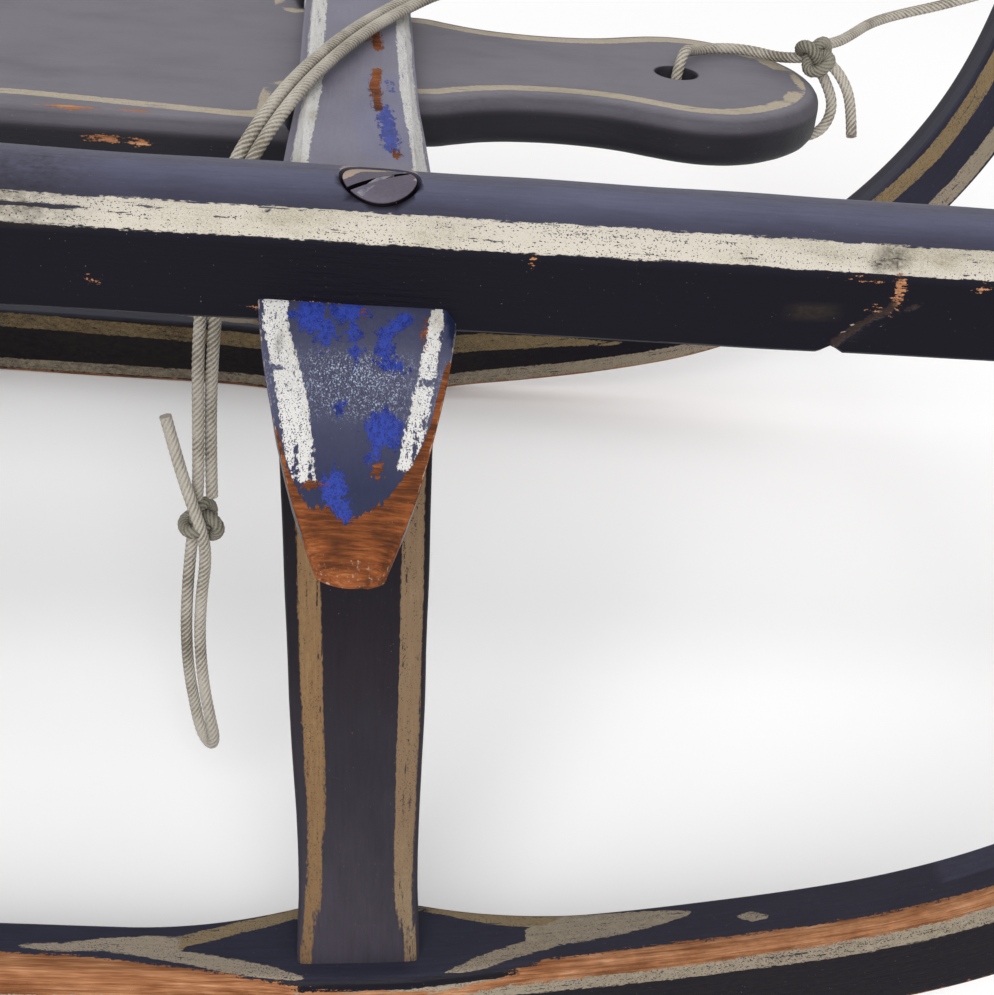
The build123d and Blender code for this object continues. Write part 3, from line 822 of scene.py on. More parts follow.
class Finishes:
    """All the materials, made once."""

    def __init__(self) -> None:
        """Builds every finish of the sled."""
        horn_wood = (
            (0.33, (0.024, 0.010, 0.005)),
            (0.44, (0.074, 0.021, 0.006)),
            (0.55, (0.170, 0.049, 0.013)),
            (0.70, (0.29, 0.13, 0.052)),
        )
        self.rail = OldPaint(
            "paint_rail", ragged=0.6, pinholes=0.625, seed=1.0, cream=(0.385, 0.355, 0.305),
            specular=0.06,
        ).build()
        # the runners' cream and gold are darker copies: painted shade for their low place under
        # the deck
        self.runner = OldPaint(
            "paint_runner", ragged=0.6, gloss=0.38, seed=21.0, cream=(0.235, 0.195, 0.150),
            gold=(0.175, 0.130, 0.073), specular=0.06,
        ).build()
        # the post's paint is a darker copy, stripes included: painted shade under the rail and
        # horn
        self.post = OldPaint(
            "paint_post", ragged=0.3, gloss=0.40, pinholes=0.66, seed=33.0,
            cream=(0.132, 0.094, 0.064), gold=(0.138, 0.078, 0.036), dusty=(0.13, 0.115, 0.15),
            dark=(0.0042, 0.0030, 0.0042), specular=0.045,
        ).build()
        self.beam = OldPaint(
            "paint_beam", ragged=0.75, crackle=0.9, gloss=0.33, seed=45.0, specular=0.12,
            blue=(0.022, 0.040, 0.23), cream=(0.49, 0.48, 0.465), dusty=(0.150, 0.142, 0.185),
            grain=(0.9, 0.10, 0.9), wood_stops=horn_wood,
        ).build()
        self.plank = OldPaint(
            "paint_plank", dusty=(0.139, 0.130, 0.153), gloss=0.50, ragged=0.5, seed=57.0,
            cream=(0.37, 0.32, 0.245),
        ).build()
        painted = ((0.035, 0.032, 0.045), (0.12, 0.115, 0.15), (0.20, 0.17, 0.18))
        self.wood = EndGrain().build()
        self.wedge = EndGrain("painted_end", painted).build()
        self.cord = CottonCord().build()
        self.knot = CottonCord("soiled_cord", (0.20, 0.185, 0.15), (0.06, 0.054, 0.04)).build()


# The wooden pieces


@dataclass(frozen=True)
class Ending:
    """How a wooden piece is weathered and handed over."""

    material: Finish
    node: str
    slot: str
    crease: float               # edges sharper than this many degrees stay sharp
    hollows: Optional[Point] = None    # depth, length and seed of the hollows


class Wooden:
    """A wooden piece, from its mesh to its place in the frame."""

    def build(self) -> Thing:
        """Makes the mesh."""
        raise NotImplementedError

    def read(self, points: Array) -> Reading:
        """Marks of paint and wear at the points of the mesh."""
        raise NotImplementedError

    def cut_late(self, mesh: Mesh) -> None:
        """Cuts made after the marks are read, on the pieces that have any."""

    def ending(self, finishes: Finishes) -> Ending:
        """How the piece is finished."""
        raise NotImplementedError

    def dress(self, finishes: Finishes) -> None:
        """Builds, marks, weathers and finishes the piece."""
        piece = self.build()
        reading = self.read(Pieces.places(piece.data))
        self.cut_late(piece.data)
        end = self.ending(finishes)
        if end.hollows is not None:
            Pieces.weather(piece.data, *end.hollows)
        reading.write(piece.data)
        Pieces.hand_over(piece, end.material, end.node, end.slot, end.crease)


@dataclass
class Runner(Wooden):
    """One bent runner with its bow and the pads that widen it under the posts."""

    side: Side
    pad_outer: float = 9.3
    pad_inner: float = 13.8
    pad_flat: float = 13.0
    pad_reach: float = 50.0
    pad_sweep: float = 0.28
    arris: float = 1.1
    worn_arris: float = 2.2
    tail_radius: float = 14.0
    tip_radius: float = 9.0
    tops: int = 16              # points across the top, up a wall and across the sole
    walls: int = 12
    soles: int = 8
    top_skin: float = 0.35      # how far below the top its paint still reaches
    bow_wear: float = 410.0     # length along the sole where the bow's own wear begins
    top_stripes: tuple[Ribbon, ...] = (
        # two branches round a foot and the single stripe they run into, from the foot's centre
        Ribbon(((-42, -1.7, 1.9), (-36, -4.0, 1.9), (-25, -7.8, 1.8), (-14, -11.4, 1.5),
                (14, -12.0, 0.6)), 0.75),
        Ribbon(((-47, 0.6, 1.4), (-39.5, 1.75, 1.85), (-28.5, 3.9, 2.1), (-19.5, 6.2, 2.1),
                (-12, 8.8, 1.4)), 0.15),
        Ribbon(((-74, -0.2, 0.5), (-65, -0.1, 1.2), (-57, -1.3, 1.8), (-46, -1.2, 3.3),
                (-40, -1.6, 2.4)), 0.25),
        Ribbon(((13, -12.3, 0.5), (25.7, -8.8, 1.3), (32, -7.2, 1.7), (39, -6.2, 1.9),
                (46, -4.6, 2.2)), 0.75),
        Ribbon(((17, 10.3, 1.2), (19, 9.3, 1.9), (27, 5.3, 2.1), (35, 2.5, 2.0),
                (45, -0.2, 2.2)), 0.45),
        Ribbon(((38, -1.6, 2.2), (46, -2.6, 4.3), (56, -2.9, 3.6), (66, -3.4, 2.6),
                (76, -4.0, 0.6)), 0.3),
    )
    spot: Ribbon = Ribbon(((280, -1.0, 0.5), (283, -0.6, 1.5), (287, 0.2, 0.5)), 0.3)
    outer_stripes: tuple[Ribbon, ...] = (
        Ribbon(((-425, 18.8, 2.6), (204, 18.8, 2.6), (226, 19.0, 2.8), (336, 19.4, 2.9),
                (545, 19.2, 2.7)), 0.35),
    )
    inner_stripes: tuple[Ribbon, ...] = (
        Ribbon(((-425, 20.0, 2.4), (74, 20.6, 2.8), (120, 19.6, 2.7), (240, 17.6, 3.6),
                (271, 14.6, 2.0), (296, 10.2, 0.4)), 0.95),
        Ribbon(((385, 21.0, 1.0), (407, 21.0, 2.8), (440, 19.4, 2.9), (545, 20.2, 2.9)), 1.0),
        Ribbon(((-425, 3.2, 1.6), (200, 3.4, 2.0), (250, 3.2, 2.8), (310, 3.0, 2.6),
                (432, 4.2, 3.0), (545, 4.4, 3.0)), 0.4),
    )
    worn: tuple[Ribbon, ...] = (
        # rubbed outer top arris, as a band across the top and down the outer side
        Ribbon(((-400, 8.2, 1.2), (-120, 8.0, 2.2), (60, 6.6, 5.0), (129, 6.9, 4.9),
                (154, 8.2, 3.6), (180, 11.2, 2.2))),
        Ribbon(((180, 11.6, 2.2), (212, 12.4, 1.4), (226, 9.4, 1.3), (236, 8.0, 2.3),
                (257, 7.2, 2.6), (283, 6.7, 2.2), (336, 6.6, 2.0), (400, 7.2, 1.6),
                (520, 7.4, 0.9))),
    )
    worn_sole: tuple[Ribbon, ...] = (
        Ribbon(((-425, -0.6, 1.5), (180, -0.4, 1.8), (330, -0.5, 1.3), (420, -1.0, 0.6))),
    )

    def reach(self, x: Array, pad: float) -> Array:
        """Half width of the runner at x on the side whose pads reach out by pad."""
        half = TRACK.width / 2
        feet, _ = TRACK.place(TRACK.soles(), np.full(len(Bay), TRACK.height))
        gap = np.abs(x[..., None] - feet).min(axis=-1)
        share = np.clip((gap - self.pad_flat) / (self.pad_reach - self.pad_flat), 0, 1)
        # a sweep through the end points and a middle point at pad_sweep
        sag = (0.5 - self.pad_sweep) * 4 * share * (1 - share)
        return half + (pad - half) * (1 - share - sag)

    def section(self, low: float, high: float) -> tuple[Array, Array, Array]:
        """Points of one section, from the outer wall over the top.

        Args:
            low: height of the sole.
            high: height of the top.

        Returns:
            Each point's wall, its height, and its set-in from that wall or its share across.
        """
        turns = np.linspace(0, math.pi / 2, 5)
        rise, fall = turns[1:], turns[::-1][:-1]
        r, worn = self.arris, self.worn_arris

        def arris(
            wall: str, z: float, radius: float, turns: Array
        ) -> list[tuple[str, float, float]]:
            """A rounded arris of a wall, which hangs from its centre if radius is negative."""
            size = abs(radius)
            return [(wall, z + radius * math.sin(a), size - size * math.cos(a)) for a in turns]

        rows = [("outer", h, 0.0) for h in np.linspace(low + r, high - worn, self.walls)]
        rows += arris("outer", high - worn, worn, rise)
        rows += [("top", high, k / self.tops) for k in range(1, self.tops)]
        rows += arris("inner", high - r, r, fall)
        rows += [("inner", h, 0.0) for h in np.linspace(low + r, high - r, self.walls)[::-1]]
        rows += arris("inner", low + r, -r, rise)
        rows += [("sole", low, k / self.soles) for k in range(1, self.soles)]
        rows += arris("outer", low + r, -r, fall)
        walls, up, inset = zip(*rows)
        return np.array(walls), np.array(up), np.array(inset)

    def build(self) -> Thing:
        """Makes the mesh."""
        tail, end = -TRACK.half_length, TRACK.end
        legs = ((tail, tail + 14, 1.0), (tail + 14, 90, 3.2), (90, 300, 1.7), (300, end - 9, 2.6))
        rings = []
        for s in stations(*legs, (end - 9, end, 0.9)):
            cut = rounding(self.tip_radius, end - s)
            low = rounding(self.tail_radius, s - tail) + cut
            walls, up, inset = self.section(low, TRACK.height - cut)
            x, z = TRACK.place(np.full(len(up), s), up)
            out, inn = self.reach(x, self.pad_outer), self.reach(x, self.pad_inner)
            first, last = out - self.worn_arris, -inn + self.arris
            across = np.select(
                [walls == "outer", walls == "inner", walls == "top"],
                [out - inset, -inn + inset, first + (last - first) * inset],
                last + (out - self.arris - last) * inset,
            )
            rings.append(np.stack([x, self.side.value * (TRACK.half_track + across), z], axis=1))
        return Skin(rings).cap_fans().make("bent_runner_%s" % self.side.word)

    def read(self, points: Array) -> Reading:
        """Marks of paint and wear over the runner."""
        along, up = TRACK.straighten(points[:, 0], points[:, 2])
        across = self.side.value * points[:, 1] - TRACK.half_track
        out, inn = (self.reach(points[:, 0], pad) for pad in (self.pad_outer, self.pad_inner))
        below = TRACK.height - up
        foot = TRACK.soles()
        local = along - foot[np.abs(along[:, None] - foot).argmin(axis=1)]
        tops, top_tint = nearest(self.top_stripes, local, across)
        if self.side is Side.RIGHT:
            tops = np.maximum(tops, self.spot.inside(along, across))
        sides_out, tint_out = nearest(self.outer_stripes, along, up)
        sides_in, tint_in = nearest(self.inner_stripes, along, up)
        is_top, outside = below < self.top_skin, across > 0
        stripe = np.where(is_top, tops, np.where(outside, sides_out, sides_in))
        tint = np.where(is_top, top_tint, np.where(outside, tint_out, tint_in))
        # unrolled over the outer arris: the top's width goes on down the side
        rolled = np.where(below < self.worn_arris, across, across + below - self.worn_arris)
        bare, _ = nearest(self.worn, along, np.where(outside, rolled, across))
        bare = np.maximum(bare, nearest(self.worn_sole, along, up)[0])
        from_inner, from_outer = inn + across, out - across
        on_bow = np.where(along > self.bow_wear, np.hypot(below, from_outer), FAR)
        edges = [np.hypot(below, from_inner), np.hypot(up, from_inner), np.hypot(up, from_outer)]
        arris = np.minimum.reduce([*edges, on_bow]) + 0.25
        dust = np.where(is_top, 0.14, 0.01) + np.where((across < 0) & (along > 330), 0.10, 0)
        # painted shade: the inner side darkens behind along 330, fully behind 210, where the deck
        # shades it; top and outer side get a little darker past along 205
        shade = np.clip((330 - along) / 120, 0, 1) * 0.62
        soil = np.where((across < 0) & ~is_top, shade, 0.30 * np.clip((along - 205) / 40, 0, 1))
        run = np.stack([along, across, up], axis=1)
        return Reading(run, stripe, tint, bare, arris=arris, dust=dust, soil=soil)

    def ending(self, finishes: Finishes) -> Ending:
        """How the runner is finished."""
        hollows = (0.22, 34.0, 3.0 + self.side.value)
        return Ending(finishes.runner, "runner_" + self.side.word, "painted_runner", 50.0, hollows)


@dataclass
class Rail(Wooden):
    """One loaf-shaped rail, with the holes of the tenons and the damage of the near one."""

    side: Side
    width: float = 26.0
    bottom: float = 179.5
    wall: float = 15.2
    crown: float = 7.3
    arris: float = 1.5
    tail: float = -401.5
    tail_radius: float = 11.0
    bow_gap: float = 0.3
    hole_radius: float = 6.70
    hole_shift: float = 0.55    # outwards, so that the gap shows on the outer side
    hole_points: int = 48
    tenon_lead: float = 2.5
    tenon_lean: float = 1.2
    dome_points: int = 27       # points over the dome
    dome_spread: float = 0.92   # how much they crowd towards its edges
    stripes: tuple[Ribbon, ...] = (
        # along X, round the section from the arris between wall and dome, half width
        Ribbon(((-399, 2.7, 2.5), (-120, 2.8, 2.6), (90, 2.6, 2.7), (150, 2.75, 2.75),
                (262, 2.9, 2.7), (404, 2.8, 2.6)), 0.12),
    )
    rubs: tuple[Mark, ...] = (
        Ribbon(((118.0, 3.0, 0.45), (124.0, 3.0, 0.5), (132.0, 3.1, 0.4), (138.0, 3.3, 0.15))),
        Stroke(((165.2, 4.2), (166.8, 5.6)), 0.22),
    )
    chips: tuple[Mark, ...] = (
        Blot(138.8, -9.6, 0.6, 0.35),
        Blot(137.2, -8.6, 0.3, 0.2),
        Blot(209.4, -0.9, 0.4, 0.9),
        Blot(285.3, -1.0, 1.3, 0.6),
        Blot(271.4, -3.0, 0.9, 2.8),
        Blot(268.6, -6.3, 1.2, 0.35),
        Blot(264.6, -0.8, 2.6, 0.25),
        Blot(-12.0, 13.2, 5.0, 0.8),
        Blot(-160.0, -1.0, 3.5, 0.6),
        Blot(330.0, 12.5, 6.0, 0.9),
        Stroke(((163.6, -12.9), (168.0, -11.7), (174.0, -11.2), (179.0, -11.3)), 0.35),
    )
    crack: tuple[Stroke, ...] = (
        Stroke((
            (271.3, -4.6), (270.6, -6.4), (268.7, -7.6), (265.1, -10.6), (261.8, -13.4),
        ), 0.36),
        Stroke(((267.6, 6.4), (269.5, 4.2), (271.5, -1.1), (271.4, -4.8)), 0.10),
        Stroke(((272.4, -6.4), (275.6, -4.9)), 0.14),
    )
    scratches: tuple[Stroke, ...] = (
        Stroke(((262.6, 12.8), (264.3, 9.6), (266.2, 7.4)), 0.05),
        Stroke(((270.2, -5.6), (268.2, -7.0), (264.6, -10.0), (261.4, -12.8)), 0.10),
    )
    dirt: tuple[Blot, ...] = (
        Blot(269.6, 3.2, 3.6, 2.4),
        Blot(267.4, 1.6, 2.0, 1.6),
        Blot(257.5, -7.6, 5.4, 1.8),
        Blot(128.0, 3.0, 1.6, 3.0),
        Blot(280.0, 3.9, 3.0, 0.5),
    )

    @property
    def dome_radius(self) -> float:
        """Radius of the dome."""
        half = self.width / 2
        return (half**2 + self.crown**2) / (2 * self.crown)

    def dome(self, y: Array) -> Array:
        """Height of the dome above the rail's bottom at y from its middle."""
        radius = self.dome_radius
        return self.wall + self.crown - radius + np.sqrt(np.maximum(radius**2 - y**2, 0))

    def girth(self, y: Array, z: Array) -> Array:
        """Length round the section from the arris between wall and dome, upwards positive."""
        radius = self.dome_radius
        edge = math.asin(self.width / 2 / radius)
        over = radius * (edge - np.arcsin(np.clip(np.abs(y) / radius, 0, math.sin(edge))))
        return np.where(z > self.wall + 1e-4, over, z - self.wall)

    def section(self, limit: float) -> list[tuple[float, float]]:
        """Points round the section at a half width: over the dome, down, across and up."""
        spread = math.pi / 2 * self.dome_spread
        full = math.sin(spread)
        shares = np.linspace(-1, 1, self.dome_points)
        domed = [limit * math.sin(share * spread) / full for share in shares]
        edge = float(self.dome(np.array(limit)))
        turns = np.linspace(0, math.pi / 2, 4)
        r = self.arris
        rows = [(y, float(self.dome(np.array(y)))) for y in domed]
        rows += [(limit, z) for z in np.linspace(edge, r, 11)[1:]]
        rows += [(limit - r * (1 - math.cos(a)), r * (1 - math.sin(a))) for a in turns[1:]]
        rows += [((limit - r) * share, 0.0) for share in np.linspace(1, -1, 9)[1:-1]]
        rows += [(-limit + r * (1 - math.cos(a)), r * (1 - math.sin(a))) for a in turns[::-1][:-1]]
        return rows + [(-limit, z) for z in np.linspace(r, edge, 11)[:-1]]

    def build(self) -> Thing:
        """Makes the mesh in the level deck, then tilts it."""
        front = TRACK.bow_x + TRACK.bow_radius - TRACK.height
        middle = self.side.value * TRACK.half_track
        legs = ((self.tail, self.tail + 11, 1.0), (self.tail + 11, 90, 3.0), (90, 245, 1.5))
        legs += ((245, 295, 0.8), (295, front - 4, 2.4), (front - 4, front, 4.0))
        rings = []
        for x in stations(*legs):
            limit = self.width / 2 - rounding(self.tail_radius, x - self.tail)
            ring = [(x, middle + y, self.bottom + z) for y, z in self.section(limit)]
            rings.append(DECK.place(np.array(ring)))
        stack = np.array(rings)
        # the front end follows the round of the bow
        reach = TRACK.bow_radius - TRACK.height - self.bow_gap
        rise = stack[-1, :, 2] - TRACK.bow_z
        stack[-1, :, 0] = TRACK.bow_x + np.sqrt(reach**2 - rise**2)
        stack[-2, :, 0] = stack[-1, :, 0] - 3.0
        piece = Skin(stack).cap_fans().make("side_rail_%s" % self.side.word)
        self.damage(piece.data)
        Pieces.carve(piece, [self.cutter(bay) for bay in Bay])
        return piece

    def damage(self, mesh: Mesh) -> None:
        """Dents the near rail: a hollow by the crack, and a bite out of its lower arris."""
        if self.side is not Side.RIGHT:
            return
        points = Pieces.places(mesh)
        level = DECK.level(points)
        x, z = level[:, 0], level[:, 2] - self.bottom
        outer = (level[:, 1] + TRACK.half_track) < -self.width / 2 + 3.5
        bruise = np.exp(-(((x - 262) / 9) ** 2) - ((z - 6.5) / 4.5) ** 2) * 0.9
        line = np.abs(self.crack[0].inside(x, z - self.wall) - 0.22)
        groove = np.clip(1 - line / 0.9, 0, 1) * 0.45
        bite = np.clip(1 - np.abs(x - 261.8) / 2.2, 0, 1) * np.clip(1 - z / 3.0, 0, 1) * 1.4
        points[:, 1] += np.where(outer, bruise + groove, 0)
        points[:, 2] += np.where(outer, bite, 0)
        Pieces.settle(mesh, points)

    def tenon_line(self, bay: Bay) -> tuple[Vector, Vector]:
        """A low and a high point of the tenon's centre line."""
        slope = self.tenon_lean / (self.bottom + self.wall + self.crown - DECK.hinge_z)
        ends = []
        for z in (self.bottom + 6, self.bottom + self.wall + self.crown):
            y = self.side.value * (TRACK.half_track + slope * (z - DECK.hinge_z))
            ends.append(Vector(DECK.place(np.array((bay.value + self.tenon_lead, y, z)))))
        return ends[0], ends[1]

    def tenon_axes(self, bay: Bay) -> tuple[Vector, Vector, Vector, Vector]:
        """The low point of the tenon's line, and the axes up, across and ahead."""
        low, high = self.tenon_line(bay)
        axis = (high - low).normalized()
        across = axis.cross(Vector((1, 0, 0))).normalized()
        return low, axis, across, across.cross(axis).normalized()

    def cutter(self, bay: Bay) -> Thing:
        """A round bore with a softened mouth."""
        low, axis, across, ahead = self.tenon_axes(bay)
        shift = Vector((0, self.side.value * self.hole_shift, 0))
        rings = []
        for lift, grow in ((0.0, 0.0), (12.0, 0.0), (15.0, 0.0), (20.0, 0.25)):
            radius = self.hole_radius + grow
            ring = []
            for turn in (2 * math.pi * k / self.hole_points for k in range(self.hole_points)):
                off = ahead * (radius * math.cos(turn)) + across * (radius * math.sin(turn))
                ring.append(tuple(low + axis * lift + off + shift))
            rings.append(ring)
        return Skin(rings).cap_fans().make("bore")

    def mouths(self, points: Array, crowned: Array) -> tuple[Array, Array]:
        """Reads the tenons' holes.

        Args:
            points: places in the ground frame.
            crowned: which of them are on the dome.

        Returns:
            How far inside the pale crescent behind a hole each point lies, and how far
            from the mouth's edge it lies in front.
        """
        crescent, front = np.full(len(points), -FAR), np.full(len(points), FAR)
        for bay in Bay:
            _, top = self.tenon_line(bay)
            middle = top.y + self.side.value * self.hole_shift
            inward = (middle - points[:, 1]) * self.side.value
            gap = np.hypot(points[:, 0] - top.x, points[:, 1] - middle) - self.hole_radius
            thick = 0.9 * np.clip((inward - 1.0) / 5.0, 0, 1)
            ring = np.where(crowned & (thick > 0.05), thick - np.abs(gap - thick * 0.7), -FAR)
            crescent = np.maximum(crescent, ring)
            front = np.minimum(front, np.where(inward < 0, gap, FAR))
        return crescent, front

    def read(self, points: Array) -> Reading:
        """Marks of paint and wear over the rail."""
        level = DECK.level(points)
        x, z = level[:, 0], level[:, 2] - self.bottom
        y = level[:, 1] - self.side.value * TRACK.half_track
        around = self.girth(y, z)
        near = (y * self.side.value > 0) & (self.side is Side.RIGHT)
        stripe, tint = nearest(self.stripes, x, around)
        rubbed, bare, cracks, scratched, smudge = (
            nearest(marks, x, around)[0]
            for marks in (self.rubs, self.chips, self.crack, self.scratches, self.dirt)
        )
        stripe = np.where(near, np.minimum(stripe, -rubbed - 0.1), stripe)
        bare, cracks = np.where(near, bare, -FAR), np.where(near, cracks, -FAR)
        crescent, front = self.mouths(points, z > self.dome(y) - 0.4)
        # dust and a painted sheen: lighter towards the crown
        dust = np.interp(around, (-0.5, 4.0, 7.0, 11.5), (0.0, 0.17, 0.25, 0.50))
        # painted shadow: darkest on a thin rim in front of each hole, for the gap
        dust = np.where(front < 0.3, 0.0, dust)
        # the near rail's outer half darkens towards its rear end, the rest of the dome is a little
        # darker, and dirt blots are added
        soil = np.where(near, 0.55 * np.clip((142 - x) / 12, 0, 1), 0.3) * (around > -0.4)
        soil = np.maximum(soil, np.where(near, 0.85 * np.clip(smudge / 1.2 + 0.2, 0, 1), 0))
        arris = np.where(z < 3, np.hypot(z, self.width / 2 - np.abs(y)) - 0.3, FAR)
        arris = np.where(near, np.minimum(arris, 0.14 - scratched), arris)
        arris = np.minimum(arris, 0.15 - crescent)
        run = np.stack([x, y, z], axis=1)
        return Reading(run, stripe, tint, bare, crack=cracks, arris=arris, dust=dust, soil=soil)

    def ending(self, finishes: Finishes) -> Ending:
        """How the rail is finished."""
        hollows = (0.28, 26.0, 7.0 + self.side.value)
        return Ending(finishes.rail, "rail_" + self.side.word, "painted_rail", 29.0, hollows)


@dataclass
class Post(Wooden):
    """One leaning post with its round tenon through beam and rail, slit for the wedge."""

    side: Side
    bay: Bay
    thickness: float = 17.0
    arris: float = 1.6
    head_lead: float = 0.3
    foot_tuck: float = 4.7
    seat: float = 1.2
    widths: Rows = ((0.0, 27.0), (0.16, 24.5), (0.33, 25.3), (0.5, 26.4), (0.7, 27.0), (1.0, 27.4))
    tenon_radius: float = 6.35
    kerf: float = 0.8
    kerf_turn: float = math.radians(35.0)
    recess: float = 0.30        # of the tenon's top below the rail's dome
    edge_sink: float = 0.25     # of the top's edge below the rest of it
    tenon_rings: tuple[tuple[Optional[float], float], ...] = (
        # height on the tenon's line, or none for a ring on the dome, and share of the radius
        (0.0, 1.0), (6.0, 1.0), (None, 1.0), (None, 0.975), (None, 0.6), (None, 0.2),
    )
    leg_rings: int = 84
    stripes: tuple[Ribbon, ...] = (
        # share up the post, distance from the edge in millimetres, half width
        Ribbon(((-0.05, 1.9, 1.6), (0.12, 3.0, 1.7), (0.3, 4.2, 2.1), (0.5, 4.4, 2.3),
                (1.05, 4.6, 2.45)), 0.75),
        Ribbon(((-0.05, 2.0, 1.5), (0.12, 2.9, 2.0), (0.3, 3.1, 2.2), (1.05, 3.3, 2.2)), 0.55),
    )
    rubbed: tuple[Mark, ...] = (
        # rim and chips of the tenon's top, ahead of and out from its middle
        Stroke(((-6.2, -0.5), (-4.6, -4.0), (0.8, -5.8)), 1.6),
        Blot(4.4, -3.6, 1.0, 0.8),
        Blot(5.9, -0.4, 0.8, 0.7),
        Blot(2.0, -5.6, 0.9, 0.6),
    )

    def frame(self) -> tuple[Array, Array, Array, Array, float]:
        """Foot, head, the axes up and ahead, and the slope of the foot's cut."""
        sole = np.array(self.bay.value + TRACK.foot_lead)
        foot_x, foot_z = TRACK.place(sole, np.array(TRACK.height - self.seat))
        foot_y = self.side.value * (TRACK.half_track - self.foot_tuck)
        foot = np.array((float(foot_x), foot_y, float(foot_z)))
        place = (self.bay.value + self.head_lead, self.side.value * TRACK.half_track, DECK.hinge_z)
        head = DECK.place(np.array(place))
        axis = (head - foot) / np.linalg.norm(head - foot)
        ahead = np.array((1.0, 0, 0)) - axis * axis[0]
        ahead /= np.linalg.norm(ahead)
        slope = max(float(sole) - TRACK.slow_start, 0) / TRACK.slow_radius
        return foot, head, axis, ahead, math.asin(min(slope, 1))

    def width(self, share: Array) -> Array:
        """Width of the leg at a share of its height."""
        fine = np.linspace(0, 1, 41)
        knots = np.interp(fine, *np.array(self.widths).T)
        knots = np.convolve(np.pad(knots, 2, mode="edge"), np.ones(5) / 5, mode="valid")
        return np.interp(share, fine, knots)

    def section(self, wide: float) -> list[tuple[float, float]]:
        """Points round the leg at a half width, with rounded arrises."""
        half, r = self.thickness / 2, self.arris
        turns = np.linspace(0, math.pi / 2, 4)
        rows: list[tuple[float, float]] = []
        corners = ((1, 1), (-1, 1), (-1, -1), (1, -1))
        for k, (su, sv) in enumerate(corners):
            nu, nv = corners[(k + 1) % 4]
            on_face = k % 2 == 0
            for a in turns if on_face else turns[::-1]:
                u, v = wide - r + r * math.cos(a), half - r + r * math.sin(a)
                rows.append((su * u, sv * v))
            last = rows[-1]
            goal = (nu * (wide - r), nv * half) if on_face else (nu * wide, nv * (half - r))
            count = 14 if on_face else 8
            for t in (step / count for step in range(1, count)):
                rows.append((last[0] + (goal[0] - last[0]) * t, last[1] + (goal[1] - last[1]) * t))
        return rows

    def build(self) -> Thing:
        """Makes the leg, with the tenon's halves as two more closed shells."""
        foot, head, axis, ahead, foot_slope = self.frame()
        sideways = np.cross(axis, ahead)
        foot_normal, head_normal = (
            np.array((-math.sin(slope), 0, math.cos(slope))) for slope in (foot_slope, DECK.pitch)
        )
        rings = []
        for share in np.linspace(0, 1, self.leg_rings):
            ring = []
            for u, v in self.section(float(self.width(np.array(share))) / 2):
                base = foot + ahead * u + sideways * v
                low = float(np.dot(foot - base, foot_normal) / np.dot(axis, foot_normal))
                high = float(np.dot(head - base, head_normal) / np.dot(axis, head_normal))
                ring.append(base + axis * (low + (high - low) * share))
            rings.append(ring)
        skin = Skin(rings).cap_fans()
        for sign in (1, -1):
            skin.add(self.tenon_half(sign))
        return skin.make("leg_%s_%s" % (self.bay.word, self.side.word))

    def crown(self, level: Array) -> Array:
        """Height that the tenon's top has at a place in the level deck."""
        rail = Rail(self.side)
        off = level[..., 1] - self.side.value * TRACK.half_track
        return rail.bottom + rail.dome(off) - self.recess

    def tenon_half(self, sign: int) -> Skin:
        """One half of the domed tenon, on one side of the kerf."""
        low, axis, across, ahead = Rail(self.side).tenon_axes(self.bay)
        slit = ahead * math.cos(self.kerf_turn) + across * math.sin(self.kerf_turn)
        normal = axis.cross(slit)
        gap = self.kerf / 2 / self.tenon_radius
        turns = np.linspace(math.asin(gap), math.pi - math.asin(gap), 22)
        outline = [(math.cos(a), sign * math.sin(a)) for a in turns]
        start, end = outline[0][0], outline[-1][0]
        outline += [(end + (start - end) * k / 8, sign * gap) for k in range(1, 8)]
        middle = (sum(p[0] for p in outline) / len(outline), sign * 0.45)
        rings = []
        for lift, shrink in self.tenon_rings:
            ring = []
            for cx, cy in outline:
                px = middle[0] + (cx - middle[0]) * shrink
                py = middle[1] + (cy - middle[1]) * shrink
                if shrink > 0.9:
                    px, py = cx * shrink, max(abs(cy) * shrink, gap) * sign
                point = low + slit * (px * self.tenon_radius) + normal * (py * self.tenon_radius)
                if lift is None:
                    sink = self.edge_sink if shrink == 1.0 else 0.0
                    for _ in range(3):
                        level = DECK.level(np.array(point))
                        gain = (float(self.crown(level)) - sink - level[2]) / axis.z
                        point = point + axis * gain
                else:
                    point = point + axis * lift
                ring.append(tuple(point))
            rings.append(ring)
        return Skin(rings).cap_fans()

    def read(self, points: Array) -> Reading:
        """Marks of paint and wear over the post."""
        foot, head, axis, ahead, _ = self.frame()
        length = float(np.linalg.norm(head - foot))
        off = points - foot
        share, u, v = off @ axis / length, off @ ahead, off @ np.cross(axis, ahead)
        wide = self.width(np.clip(share, 0, 1)) / 2
        rear, tint_rear = nearest(self.stripes[:1], share, wide + u)
        front, tint_front = nearest(self.stripes[1:], share, wide - u)
        on_face = (np.abs(v) > self.thickness / 2 - 0.3) & (share < 1.004)
        stripe = np.where(on_face, np.where(u < 0, rear, front), -FAR)
        tint = np.where(u < 0, tint_rear, tint_front)
        arris = np.hypot(wide - np.abs(u), self.thickness / 2 - np.abs(v)) + 0.1
        # painted shade: lighter towards the foot, darker up under the horn
        dust = 0.24 * np.clip(1 - share, 0, 1) ** 1.4
        tenon = share > 1.03
        tip = points[share > share.max() - 0.02].mean(axis=0)
        out = self.side.value * (points[:, 1] - tip[1])
        rim, _ = nearest(self.rubbed, points[:, 0] - tip[0], out)
        level = DECK.level(points)
        flank = level[:, 2] < self.crown(level) - 0.12
        arris = np.where(tenon, np.where(flank, FAR, 0.15 - rim), arris)
